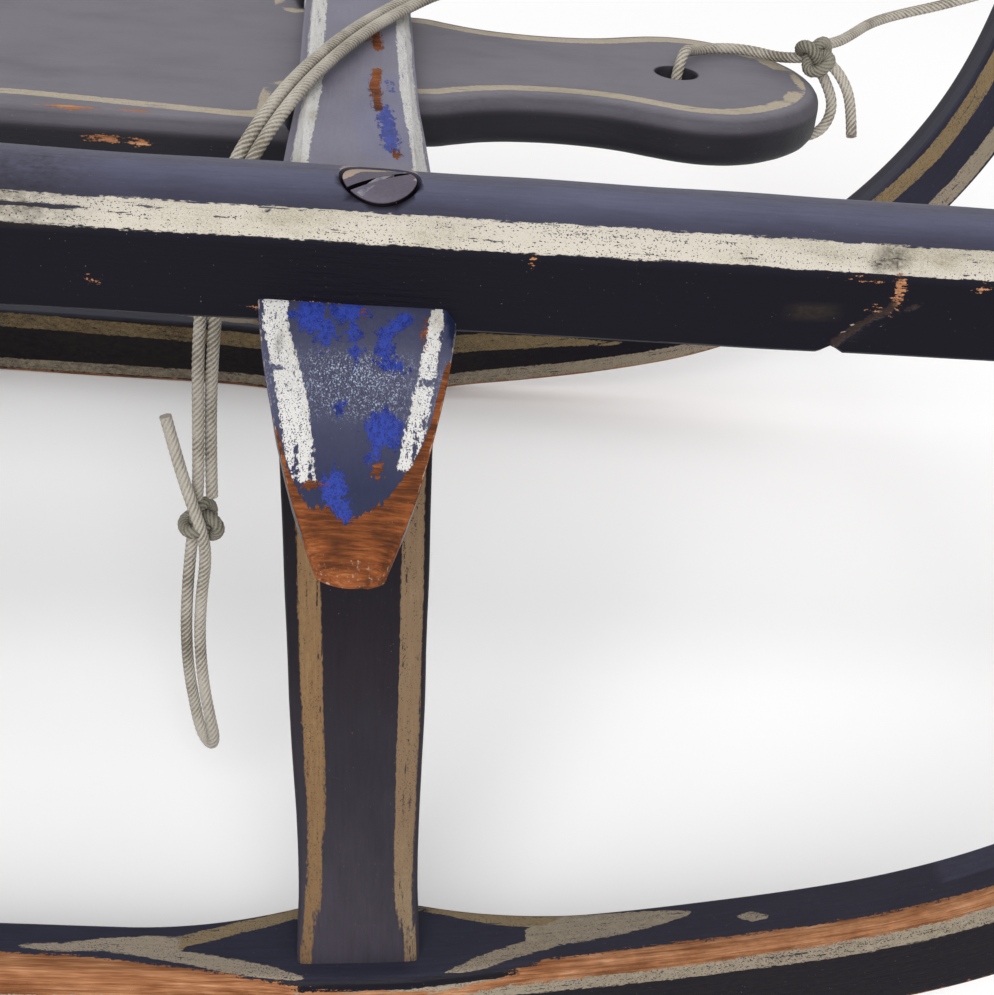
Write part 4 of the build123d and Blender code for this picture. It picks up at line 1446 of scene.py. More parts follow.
        # painted shade: the tenon's flank stays at the darkest paint, for the gap round it
        dust = np.where(tenon, np.where(flank, 0.0, 0.62), dust)
        run = np.stack([share * length, u, v], axis=1)
        return Reading(run, stripe, tint, arris=arris, dust=dust)

    def ending(self, finishes: Finishes) -> Ending:
        """How the post is finished."""
        name = "post_%s_%s" % (self.bay.word, self.side.word)
        hollows = (0.2, 22.0, self.bay.value / 50 + self.side.value)
        return Ending(finishes.post, name, "painted_post", 50.0, hollows)


@dataclass
class Beam(Wooden):
    """One cross-beam: undercut sides, stopped bevels and thin drooping horns."""

    bay: Bay
    depth: float = 14.0
    waist: float = 14.0
    head: float = 16.5
    flat: float = 11.25
    bevel: float = 3.7 / 2.75
    bevel_stop: float = 143.6
    undercut: float = math.tan(math.radians(9.5))
    shoulder: float = 62.0
    rail_inner: float = 146.0
    swell: float = 0.85         # share of the swelling that is done half way along it
    root: float = 172.0
    reach: float = 48.0
    nose: float = 2.5
    arris: float = 0.45
    tops: int = 44              # points across the top
    horn_stripes: tuple[Ribbon, ...] = (
        # along the horn from its root, across, half width
        Ribbon(((-3, -13.6, 2.0), (5, -13.3, 2.0), (18, -10.1, 2.4), (30, -8.1, 2.2),
                (33.5, -7.4, 1.7)), 0.0),
        Ribbon(((-1, 13.2, 0.6), (2, 12.8, 1.2), (14.6, 11.0, 1.5), (26, 8.9, 1.6),
                (30.5, 7.7, 1.0)), 0.0),
    )
    inner_stripes: tuple[Ribbon, ...] = (
        # along |y|, distance from the silhouette, half width
        Ribbon(((-1, 3.7, 1.9), (104, 3.6, 1.9), (150, 3.9, 2.1)), 0.15),
        Ribbon(((-1, 2.6, 1.9), (104, 2.6, 1.9), (150, 2.9, 2.0)), 0.2),
    )
    horn_gaps: tuple[Mark, ...] = (
        Blot(13.2, -13.0, 0.7, 1.5),
        Blot(14.6, 11.0, 0.6, 2.2),
        Blot(31.0, -9.0, 3.2, 0.35),
        Blot(32.0, -6.6, 2.6, 0.30),
        Blot(27.5, 9.4, 3.0, 0.35),
        Blot(22.0, 10.9, 1.5, 0.5),
    )
    near_cobalt: tuple[Mark, ...] = (
        Blot(2.6, -7.6, 4.2, 2.6),
        Blot(5.6, -5.2, 3.6, 1.7),
        Blot(1.6, -1.9, 2.0, 3.4),
        Blot(5.4, -1.0, 2.2, 1.3),
        Blot(9.0, -0.4, 2.4, 1.2),
        Stroke(((2.4, 7.6), (5.4, 4.6), (9.8, 4.0)), 1.3),
        Blot(11.6, 5.6, 1.6, 2.6),
        Blot(19.6, -2.2, 1.5, 0.9),
        Blot(23.6, 4.4, 3.6, 3.0),
        Blot(27.5, 3.0, 3.0, 1.0),
        Blot(34.5, -3.0, 3.6, 2.2),
        Blot(38.0, -1.5, 2.0, 1.6),
        Blot(2.3, -11.0, 0.8, 0.9),
    )
    near_bare: tuple[Mark, ...] = (
        Tide((
            (-17, 23.0), (-12.0, 24.2), (-10.4, 30.0), (-8.6, 34.6), (-6.4, 37.4), (-3.8, 37.0),
            (-1.2, 39.6), (1.6, 38.0), (4.6, 36.0), (7.0, 32.6), (9.2, 29.0), (11.6, 23.0),
            (12.9, 17.0), (14.4, 10.5), (17, 9.0),
        )),
        Blot(1.2, 0.8, 0.9, 0.5),
        Blot(5.2, 10.8, 2.2, 0.5),
        Blot(30.5, 3.6, 1.4, 0.8),
        Blot(33.6, -6.8, 0.7, 2.2),
    )
    far_bare: tuple[Mark, ...] = (
        Tide(((-17, 31.0), (-8, 36.0), (0, 39.0), (8, 35.0), (17, 27.0))),
        Ribbon(((20.0, 12.2, 0.8), (34, 9.4, 1.0))),
        Ribbon(((24.0, -12.0, 0.6), (34, -9.6, 1.0))),
    )
    inner_bare: tuple[Mark, ...] = (
        Stroke(((1.0, 4.6), (-14.0, 4.0), (-29.0, 4.6)), 1.3),
        Stroke(((-44.0, 4.2), (-58.0, 3.6), (-73.0, 4.4)), 1.2),
        Stroke(((-97.0, 7.4), (-102.0, 8.0)), 1.0),
        Blot(-120.0, 6.0, 6.0, 1.2),
    )
    inner_cobalt: tuple[Mark, ...] = (
        Stroke(((-70.0, 5.4), (-78.0, 5.6), (-88.0, 6.4), (-97.0, 6.6)), 1.7),
        Stroke(((-52.0, 6.6), (-60.0, 7.0)), 0.6),
    )
    smear: Blot = Blot(8.4, -12.6, 2.8, 0.8)

    def half_top(self, a: Array) -> Array:
        """Half width on top at a distance a from the middle of the sled, where no bevel is."""
        d = np.maximum(a - self.root, 0)
        horn = self.head - 0.0986 * d - 0.002664 * d**2
        share = np.clip((a - self.shoulder) / (self.rail_inner - self.shoulder), 0, 1)
        lift = share + 4 * (self.swell - 0.5) * share * (1 - share)
        return np.where(a > self.root, horn, self.waist + (self.head - self.waist) * lift)

    def top(self, a: Array) -> Array:
        """Height of the upper side."""
        d = np.maximum(a - self.root, 0)
        return DECK.hinge_z + self.depth - 0.40833 * d - 0.0010417 * d**2

    def under(self, a: Array) -> Array:
        """Height of the underside."""
        d = np.maximum(a - self.root, 0)
        return DECK.hinge_z - 0.08333 * d - 0.002604 * d**2

    def bevel_share(self, a: Array) -> Array:
        """How much of the bevel is cut: all of it up to its stop short of the rail."""
        return np.clip((self.bevel_stop - a) / 1.6, 0, 1)

    def lip(self, a: Array) -> tuple[Array, Array]:
        """Half width where top and side meet, and how far the bevel has come down there."""
        wide, cut = self.half_top(a), self.bevel_share(a)
        slant = (wide - self.flat) / (1 + self.bevel * self.undercut)
        return wide - self.undercut * self.bevel * slant * cut, self.bevel * slant * cut

    def knife(self, x: Array, d: Array) -> Array:
        """How far inside the knifed facet at the horn's root a point lies."""
        return (x - 14.1) * 0.9907 - (d + 2.2) * 0.136

    def section(self, a: float) -> list[tuple[float, float]]:
        """Points round the section at a distance a from the middle of the sled."""
        spot = np.array(a)
        wide, cut = float(self.half_top(spot)), float(self.bevel_share(spot))
        lip = float(self.lip(spot)[0])
        upper, lower = float(self.top(spot)), float(self.under(spot))
        r, flat = self.arris, min(self.flat, wide * 0.72)
        xs = np.concatenate(
            [
                np.linspace(-lip + r, -flat, 8)[:-1],
                np.linspace(-flat, flat, self.tops - 14),
                np.linspace(flat, lip - r, 8)[1:],
            ]
        )
        side_top = upper - max(lip - r - self.flat, 0) * self.bevel * cut
        thick = side_top - lower
        soft = min(r, thick * 0.35)
        turns = [turn * math.pi / 2 for turn in (0.5, 1.0)]
        plain = thick - 2 * soft
        walls = [side_top - soft - plain * share for share in np.linspace(0, 1, 7)[1:]]
        walls_up = [side_top - soft - plain * share for share in np.linspace(1, 0, 7)[:-1]]
        drops = [(r * math.sin(t), side_top - soft * (1 - math.cos(t))) for t in turns]
        foot = lip - self.undercut * thick
        rows = [(x, upper - max(abs(x) - self.flat, 0) * self.bevel * cut) for x in xs]
        rows += [(lip - r + over, z) for over, z in drops]
        rows += [(lip - self.undercut * (side_top - z), z) for z in walls]
        rows += [(foot - soft * 0.4, lower + soft * 0.25)]
        rows += [((foot - soft) * share, lower) for share in np.linspace(1, -1, 14)]
        rows += [(-foot + soft * 0.4, lower + soft * 0.25)]
        rows += [(-lip + self.undercut * (side_top - z), z) for z in walls_up]
        rows += [(-lip + r - over, z) for over, z in drops[::-1]]
        return rows

    def build(self) -> Thing:
        """Makes the mesh in the level deck, then tilts it."""
        edge = self.root + self.reach
        legs = ((0, 104, 4.0), (104, 140, 2.0), (140, 145, 0.8), (145, 172, 3.0), (172, edge, 0.9))
        half = stations(*legs)
        rings = []
        for y in np.unique(np.concatenate([-half, half])):
            a = abs(y)
            wide = float(self.half_top(np.array(a)))
            bulge = np.clip((a - (edge - 14)) / 14, 0, 1) * self.nose
            ring = []
            for x, z in self.section(a):
                pull = bulge * (abs(x) / max(wide, 1)) ** 2
                ring.append((self.bay.value + x, y - math.copysign(pull, y), z))
            rings.append(ring)
        skin = Skin(DECK.place(np.array(rings))).cap_strips(self.tops)
        return skin.make("cross_beam_%s" % self.bay.word)

    def cut_late(self, mesh: Mesh) -> None:
        """Knifed facet on the near front horn's root, and the wear of its tip."""
        if self.bay is not Bay.FRONT:
            return
        points = Pieces.places(mesh)
        level = DECK.level(points)
        x, d = level[:, 0] - self.bay.value, -level[:, 1] - self.root
        line = self.knife(x, d)
        upper = level[:, 2] > DECK.hinge_z + 6
        depth = np.where((line > 0) & (d > -3) & (d < 9) & upper, line * 1.3, 0)
        chip = np.where((d > 45.6) & (x > 2.6) & (x < 6), 0.35, 0)
        points[:, 2] -= np.minimum(depth, 3.4) + chip
        Pieces.settle(mesh, points)

    def read(self, points: Array) -> Reading:
        """Marks of paint and wear over the beam."""
        level = DECK.level(points)
        x, y, z = level[:, 0] - self.bay.value, level[:, 1], level[:, 2]
        a = np.abs(y)
        d = a - self.root
        lip, fall = self.lip(a)
        upper = self.top(a)
        face_up = z > upper - fall - 1.0
        is_front = self.bay is Bay.FRONT
        on_horn = d > -3
        hero = is_front & (y < 0) & on_horn
        horn, horn_tint = nearest(self.horn_stripes, d, x)
        rear, rear_tint = nearest(self.inner_stripes[:1], a, lip + x)
        front, front_tint = nearest(self.inner_stripes[1:], a, lip - x)
        if is_front:
            horn = np.minimum(horn, -nearest(self.horn_gaps, d, x)[0])
        stripe = np.where(on_horn, horn, np.maximum(rear, front))
        tint = np.where(on_horn, horn_tint, np.where(rear > front, rear_tint, front_tint))
        stripe = np.where(face_up, stripe, -FAR)
        near_bare, _ = nearest(self.near_bare, d, x)
        far_bare, _ = nearest(self.far_bare, d, x * (1 if is_front else -1))
        near_cobalt, _ = nearest(self.near_cobalt, d, x)
        bare = np.where(hero, near_bare, np.where(on_horn, far_bare, -FAR))
        others = np.where(on_horn & (d > 8), far_bare + 2.6, -FAR)
        cobalt = np.where(hero, np.maximum(near_cobalt, -4.0), others)
        between = ~on_horn & is_front
        bare = np.where(between, nearest(self.inner_bare, y, x)[0], bare)
        cobalt = np.where(between, nearest(self.inner_cobalt, y, x)[0], cobalt)
        bare = np.where(face_up, bare, np.where(d > 40, 1.0, -FAR))
        cobalt = np.where(face_up, cobalt, -FAR)
        arris = np.where(on_horn, np.hypot(lip - np.abs(x), upper - z), FAR)
        arris = np.where(d > self.reach - 3.2, np.minimum(arris, 0.35), arris)
        # dust and a painted highlight band across the near front horn where it bends down
        horn_dust_and_sheen = np.interp(d, (-3, 6, 12, 18, 25, 34), (0.16, 0.20, 0.36, 0.36, 0.20, 0.08))
        horn_dust_and_sheen = np.where(hero, horn_dust_and_sheen, 0.45)
        # painted shade: the knifed facet at the horn's root is darkest
        horn_dust_and_sheen = np.where(hero & (self.knife(x, d) > -0.3) & (d < 9), 0.03, horn_dust_and_sheen)
        dust = np.where(face_up, np.where(on_horn, horn_dust_and_sheen, 0.90), 0.02)
        # painted highlights: glints of the crackled varnish across the near front horn
        glint = np.interp(d, (8.5, 12, 19, 23), (0, 1, 0.9, 0))
        glint = glint * np.interp(np.abs(x), (6, 9), (1, 0.3))
        glint = np.where(hero & face_up, glint, 0.0)
        soil = np.where(hero, 0.8 * np.clip(self.smear.inside(d, x) / 0.5, 0, 1), 0.0)
        run = np.stack([y, x, z], axis=1)
        wear = {"arris": arris, "dust": dust, "glint": glint, "soil": soil}
        return Reading(run, stripe, tint, bare, cobalt, **wear)

    def ending(self, finishes: Finishes) -> Ending:
        """How the beam is finished."""
        hollows = (0.16, 15.0, self.bay.value / 40)
        return Ending(finishes.beam, "beam_" + self.bay.word, "painted_beam", 34.0, hollows)


@dataclass
class Plank(Wooden):
    """The deck plank and its tongue with the cord hole."""

    top: float = 175.0
    thickness: float = 12.5
    half: float = 60.5
    tail: float = -416.5
    tail_radius: float = 22.0
    root: float = 36.0
    beam_half: float = 14.0
    clearance: float = 0.2
    reach: float = 118.3
    arris: float = 4.0
    lower_arris: float = 3.5
    hole_x: float = Bay.FRONT.value + 118.3 - 37.0
    hole_radius: float = 5.2
    hole_points: int = 40
    profile: Rows = (
        # share of the tongue from the beam to its tip, and half its width there
        (0.0515, 35.3), (0.1124, 32.3), (0.1779, 29.5), (0.2715, 27.7), (0.3792, 27.6),
        (0.4728, 29.2), (0.5478, 32.2), (0.6227, 34.8), (0.6976, 35.4), (0.7725, 33.7),
        (0.8474, 29.4), (0.9129, 23.4), (0.9644, 15.5), (0.9906, 8.0),
    )
    slice_along: float = 5.0
    slice_across: float = 1.6
    stripes: tuple[Ribbon, ...] = (
        # along X, distance in from the outline, half width
        Ribbon(((-410, 8.0, 1.7), (40, 9.0, 1.7), (107, 10.6, 1.7), (153, 6.2, 1.9),
                (169, 5.9, 1.9)), 0.2),
        Ribbon(((193, 6.0, 1.8), (240, 6.2, 2.0), (303, 6.0, 2.1)), 0.25),
    )
    # along X and up the near side, then along X and across the top
    side_chips: tuple[Blot, ...] = (
        Blot(122.6, 169.0, 1.2, 0.7), Blot(128.6, 169.2, 2.4, 0.9), Blot(135.4, 168.8, 1.5, 0.8),
    )
    edge_rubs: tuple[Blot, ...] = (Blot(120.0, -57.6, 6.0, 0.8), Blot(133.0, -57.0, 3.0, 0.7))

    def tongue(self) -> list[tuple[float, float]]:
        """Points round the tongue, from its left root over the tip to its right root."""
        front = Bay.FRONT.value
        length, start = self.reach - self.beam_half, front + self.beam_half
        table = [(start, self.root)] + [(start + share * length, w) for share, w in self.profile]
        table += [(front + self.reach, 0.0)]
        table += [(x, -y) for x, y in reversed(table[:-1])]
        curve = bpy.data.curves.new("tongue_edge", "CURVE")
        spline = curve.splines.new("BEZIER")
        spline.bezier_points.add(len(table) - 1)
        for point, (x, y) in zip(spline.bezier_points, table):
            point.co = (x, y, 0)
            point.handle_left_type = point.handle_right_type = "AUTO"
        curve.resolution_u = 8
        holder = link("tongue_edge", curve)
        line = Pieces.evaluated(holder)
        bpy.data.objects.remove(holder)
        return [(v.co.x, v.co.y) for v in line.vertices]

    def outline(self) -> Array:
        """Closed plan of plank and tongue, anticlockwise, as x and y."""
        front, half, root, r = Bay.FRONT.value, self.half, self.root, self.tail_radius
        shoulder = front - self.beam_half - self.clearance
        side = stations((self.tail + r, 60, 12.0), (60, shoulder, 4.0))

        def corner(first: float, middle: float) -> list[tuple[float, float]]:
            """A rounded corner of the tail, from the angle first on."""
            turns = [math.radians(a) for a in np.linspace(first, first + 90, 9)[1:-1]]
            return [(self.tail + r + r * math.cos(t), middle + r * math.sin(t)) for t in turns]

        points = [(float(x), -half) for x in side]
        points += [(shoulder, -half + 8), (shoulder, -root - 6), (shoulder + 0.6, -root)]
        points += [(front, -root)] + self.tongue()[::-1] + [(front, root)]
        points += [(shoulder + 0.6, root), (shoulder, root + 6), (shoulder, half - 8)]
        points += [(float(x), half) for x in side[::-1]] + corner(90, half - r)
        points += [(self.tail, float(y)) for y in np.linspace(half - r, -half + r, 12)]
        return np.array(points + corner(180, -half + r))

    def inward(self, line: Array) -> Array:
        """Unit normals that point into the plan."""
        ahead = np.roll(line, -1, axis=0) - line
        behind = line - np.roll(line, 1, axis=0)

        def unit(v: Array) -> Array:
            """Rows of length one."""
            return v / np.maximum(np.linalg.norm(v, axis=1, keepdims=True), TINY)

        course = unit(unit(ahead) + unit(behind))
        return np.stack([-course[:, 1], course[:, 0]], axis=1)

    def levels(self) -> list[tuple[float, float]]:
        """Set-in and height of the rings down the rounded edge."""
        r, low, bottom = self.arris, self.lower_arris, self.top - self.thickness
        down = [math.radians(a) for a in np.linspace(90, 0, 7)]
        under = [math.radians(a) for a in np.linspace(0, 90, 5)]
        rows = [(r * (1 - math.cos(t)), self.top - r * (1 - math.sin(t))) for t in down]
        rows += [(0.0, float(z)) for z in np.linspace(self.top - r, bottom + low, 7)[1:-1]]
        return rows + [(low * (1 - math.cos(t)), bottom + low * (1 - math.sin(t))) for t in under]

    def build(self) -> Thing:
        """Makes the mesh: rings down the rounded edge, then the two flats round the hole."""
        line = self.outline()
        normals = self.inward(line)
        rings = []
        for inset, z in self.levels():
            rings.append(np.column_stack([line + normals * inset, np.full(len(line), z)]))
        skin = Skin(rings)
        soften = ((0.9, 0.0), (0.35, 0.12), (0.1, 0.45), (0.0, 1.0), (0.0, 6.0))
        down = [(grow, self.top - sink) for grow, sink in soften]
        down += [(grow, self.top - self.thickness + sink) for grow, sink in soften[::-1][1:]]
        bore: list[list[int]] = []
        for grow, z in down:
            radius = self.hole_radius + grow
            for a in (2 * math.pi * k / self.hole_points for k in range(self.hole_points)):
                skin.points.append((self.hole_x + radius * math.cos(a), radius * math.sin(a), z))
            bore.append(list(range(len(skin.points) - self.hole_points, len(skin.points))))
        for low, high in zip(bore, bore[1:]):
            skin.join(low, high)
        for first, hole in ((0, bore[0]), ((skin.count - 1) * skin.size, bore[-1])):
            outer = list(range(first, first + skin.size))
            loops = [[Vector(skin.points[i]) for i in loop] for loop in (outer, hole)]
            for tri in tessellate_polygon(loops):
                skin.faces.append(tuple((outer + hole)[i] for i in tri))
        piece = skin.make("plank_and_tongue")
        self.slice(piece.data)
        Pieces.settle(piece.data, DECK.place(Pieces.places(piece.data)))
        return piece

    def slice(self, mesh: Mesh) -> None:
        """Divides the flats by upright planes, so that marks have points to sit on."""
        shell = bmesh.new()
        shell.from_mesh(mesh)
        along = stations((self.tail + 5, 40, 12.0), (40, 295, self.slice_along))
        across = stations((-self.half + 4.5, self.half - 4.5, self.slice_across))
        cuts = [((x, 0, 0), (1, 0, 0)) for x in along] + [((0, y, 0), (0, 1, 0)) for y in across]
        for place, normal in cuts:
            flats = [f for f in shell.faces if f.normal.z > 0.99]
            geom = list({e for f in flats for e in f.edges})
            geom += list({v for f in flats for v in f.verts}) + flats
            bmesh.ops.bisect_plane(
                shell, geom=geom, plane_co=Vector(place) * MM, plane_no=normal, dist=TINY
            )
        shell.to_mesh(mesh)
        shell.free()

    def read(self, points: Array) -> Reading:
        """Marks of paint and wear over the plank."""
        level = DECK.level(points)
        x, y, z = level.T
        line, plan = self.outline(), level[:, :2]
        best = np.full(len(points), np.inf)
        for p, q in zip(line, np.roll(line, -1, axis=0)):
            run = q - p
            share = np.clip(((plan - p) @ run) / max(float(run @ run), 1e-9), 0, 1)
            best = np.minimum(best, np.linalg.norm(plan - p - share[:, None] * run, axis=1))
        stripe, tint = nearest(self.stripes, x, best)
        stripe = np.where(z > self.top - 0.8, stripe, -FAR)
        near_side = (z < self.top - 3.9) & (y < 0)
        bare = np.where(near_side, nearest(self.side_chips, x, z)[0], -FAR)
        rubbed = np.where(z > self.top - 3, nearest(self.edge_rubs, x, y)[0], -FAR)
        # dust and painted sheen: lightest on top, paler on the rounded arris, dark down the sides
        dust = np.interp(self.top - z, (0.3, 0.8, 3.2, 4.2), (0.95, 0.45, 0.30, 0.02))
        # painted shade: dark in and round the cord hole
        dust = np.where(np.hypot(x - self.hole_x, y) - self.hole_radius < 0.6, 0.1, dust)
        bare = np.maximum(bare, rubbed)
        return Reading(np.stack([x, y, z], axis=1), stripe, tint, bare, dust=dust)

    def ending(self, finishes: Finishes) -> Ending:
        """How the plank is finished."""
        return Ending(finishes.plank, "deck_plank", "painted_plank", 40.0)


@dataclass
class Rung(Wooden):
    """The turned rung between the bows."""

    radius: float = 10.5
    end_radius: float = 8.0
    tenon: float = 6.4
    angle: float = math.radians(12.2)
    stripes: tuple[Ribbon, ...] = tuple(
        Ribbon(((-200, y, 1.6), (200, y, 1.6))) for y in (-132.0, 132.0)
    )
    rub: tuple[Ribbon, ...] = (Ribbon(((-200, 69.0, 12.0), (200, 69.0, 12.0))),)

    def centre(self) -> tuple[float, float]:
        """X and Z of the rung's axis."""
        middle = TRACK.bow_radius - TRACK.height / 2
        turn = self.angle
        return TRACK.bow_x + middle * math.cos(turn), TRACK.bow_z + middle * math.sin(turn)

    def build(self) -> Thing:
        """Makes the mesh."""
        x, z = self.centre()
        shoulder = TRACK.half_track - TRACK.width / 2 - 0.3
        end = TRACK.half_track + TRACK.width / 2 + 0.12
        swell = self.radius - self.end_radius
        bulge = (shoulder**2 + swell**2) / (2 * swell)
        line: list[tuple[float, float]] = [(-end, self.tenon - 0.5), (-end + 0.5, self.tenon)]
        line += [(-shoulder - 0.05, self.tenon), (-shoulder, self.end_radius - 0.7)]
        for y in np.linspace(-shoulder + 0.8, shoulder - 0.8, 70):
            line.append((float(y), self.radius - bulge + math.sqrt(bulge**2 - y**2)))
        line += [(-y, r) for y, r in line[3::-1]]
        turns = np.linspace(0, 2 * math.pi, 33)[:-1]
        rings = [[(x + r * math.cos(a), y, z + r * math.sin(a)) for a in turns] for y, r in line]
        return Skin(rings).cap_fans().make("bow_rung")

    def read(self, points: Array) -> Reading:
        """Marks of paint and wear over the rung."""
        x, z = self.centre()
        ahead, y, above = points[:, 0] - x, points[:, 1], points[:, 2] - z
        stripe, tint = nearest(self.stripes, ahead, y)
        rubbed = np.clip(nearest(self.rub, ahead, y)[0], -3, 0.1) - 0.9
        bare = np.where(np.abs(y) > TRACK.half_track, -0.4, rubbed)
        dust = 0.25 + 0.3 * np.clip(above / self.radius, -1, 1)
        return Reading(np.stack([y, ahead, above], axis=1), stripe, tint, bare, dust=dust)

    def ending(self, finishes: Finishes) -> Ending:
        """How the rung is finished."""
        return Ending(finishes.rail, "nose_rung", "painted_rung", 50.0, (0.2, 18.0, 11.0))


# The pull cord


@dataclass(frozen=True)
class LaidCord:
    """Geometry Nodes that lay strands along a curve."""

    radius: float = 1.42
    strands: int = 6
    groove: float = 0.075
    lay: float = 8.5            # length of one turn of the strands
    step: float = 0.6

    def tree(self, material: Finish) -> Tree:
        """Makes the node tree.

        Args:
            material: the cord's finish.

        Returns:
            A tree whose inputs are the curve, radius, lay, step and groove.
        """
        group = bpy.data.node_groups.new("laid_cord", "GeometryNodeTree")
        sockets = group.interface
        sockets.new_socket("Curve", in_out="INPUT", socket_type="NodeSocketGeometry")
        for name in ("Radius", "Lay", "Step", "Groove"):
            sockets.new_socket(name, in_out="INPUT", socket_type="NodeSocketFloat")
        sockets.new_socket("Mesh", in_out="OUTPUT", socket_type="NodeSocketGeometry")
        bench = Bench(group)
        given = group.nodes.new("NodeGroupInput")
        pick = {s.name: Wire(bench, s) for s in given.outputs if s.name}

        def step(kind: str, **inputs: Value) -> Wire:
            """Adds one geometry node, with its inputs' names in lower case."""
            named = {name.replace("_", " ").title(): value for name, value in inputs.items()}
            return bench.node("GeometryNode" + kind, {}, named)

        spots = {"Curve": pick["Curve"], "Length": pick["Step"]}
        line = bench.node("GeometryNodeResampleCurve", {"mode": "LENGTH"}, spots)
        reached = bench.node("GeometryNodeSplineParameter", output="Length")
        twisted = step("SetCurveTilt", curve=line, tilt=reached / pick["Lay"] * (2 * math.pi))
        ring = step("CurvePrimitiveCircle", resolution=6 * self.strands, radius=pick["Radius"])
        around = bench.node("GeometryNodeSplineParameter", output="Factor")
        phase = around * (2 * math.pi * self.strands)
        wave = bench.node("ShaderNodeMath", {"operation": "COSINE"}, {0: phase})
        shape = 1 - pick["Groove"] * (0.5 - wave * 0.5)
        lobes = {0: step("InputPosition"), "Scale": shape}
        moved = bench.node("ShaderNodeVectorMath", {"operation": "SCALE"}, lobes)
        lobed = step("SetPosition", geometry=ring, position=moved)
        stored = {"Geometry": lobed, "Name": "groove", "Value": wave * 0.5 + 0.5}
        kind = {"data_type": "FLOAT", "domain": "POINT"}
        marked = bench.node("GeometryNodeStoreNamedAttribute", kind, stored)
        tube = step("CurveToMesh", curve=twisted, profile_curve=marked, fill_caps=True)
        solid = step("RealizeInstances", geometry=step("SetShadeSmooth", geometry=tube))
        done = step("SetMaterial", geometry=solid, material=material)
        bench.node("NodeGroupOutput", {}, {0: done})
        return group


@dataclass(frozen=True)
class Route:
    """The points of one length of cord."""

    name: str
    points: tuple[Point, ...]

    def spline(self) -> Thing:
        """A curve object with one NURBS spline through the route."""
        curve = bpy.data.curves.new(self.name + "_line", "CURVE")
        curve.dimensions = "3D"
        curve.resolution_u = 14
        line = curve.splines.new("NURBS")
        line.points.add(len(self.points) - 1)
        for point, (x, y, z) in zip(line.points, self.points):
            point.co = (x * MM, y * MM, z * MM, 1.0)
        line.order_u = 3
        line.use_endpoint_u = True
        return link(self.name + "_line", curve)


class Knot(Worded):
    """The two tied knots, valued by centre, tube radius, size and turn."""

    TONGUE = ((298.8, 3.0, 182.6), 1.58, 1.50, (0.5, 0.35, 0.2))
    HAND = ((152.0, -91.2, 90.6), 1.50, 1.42, (1.1, 0.1, 0.9))


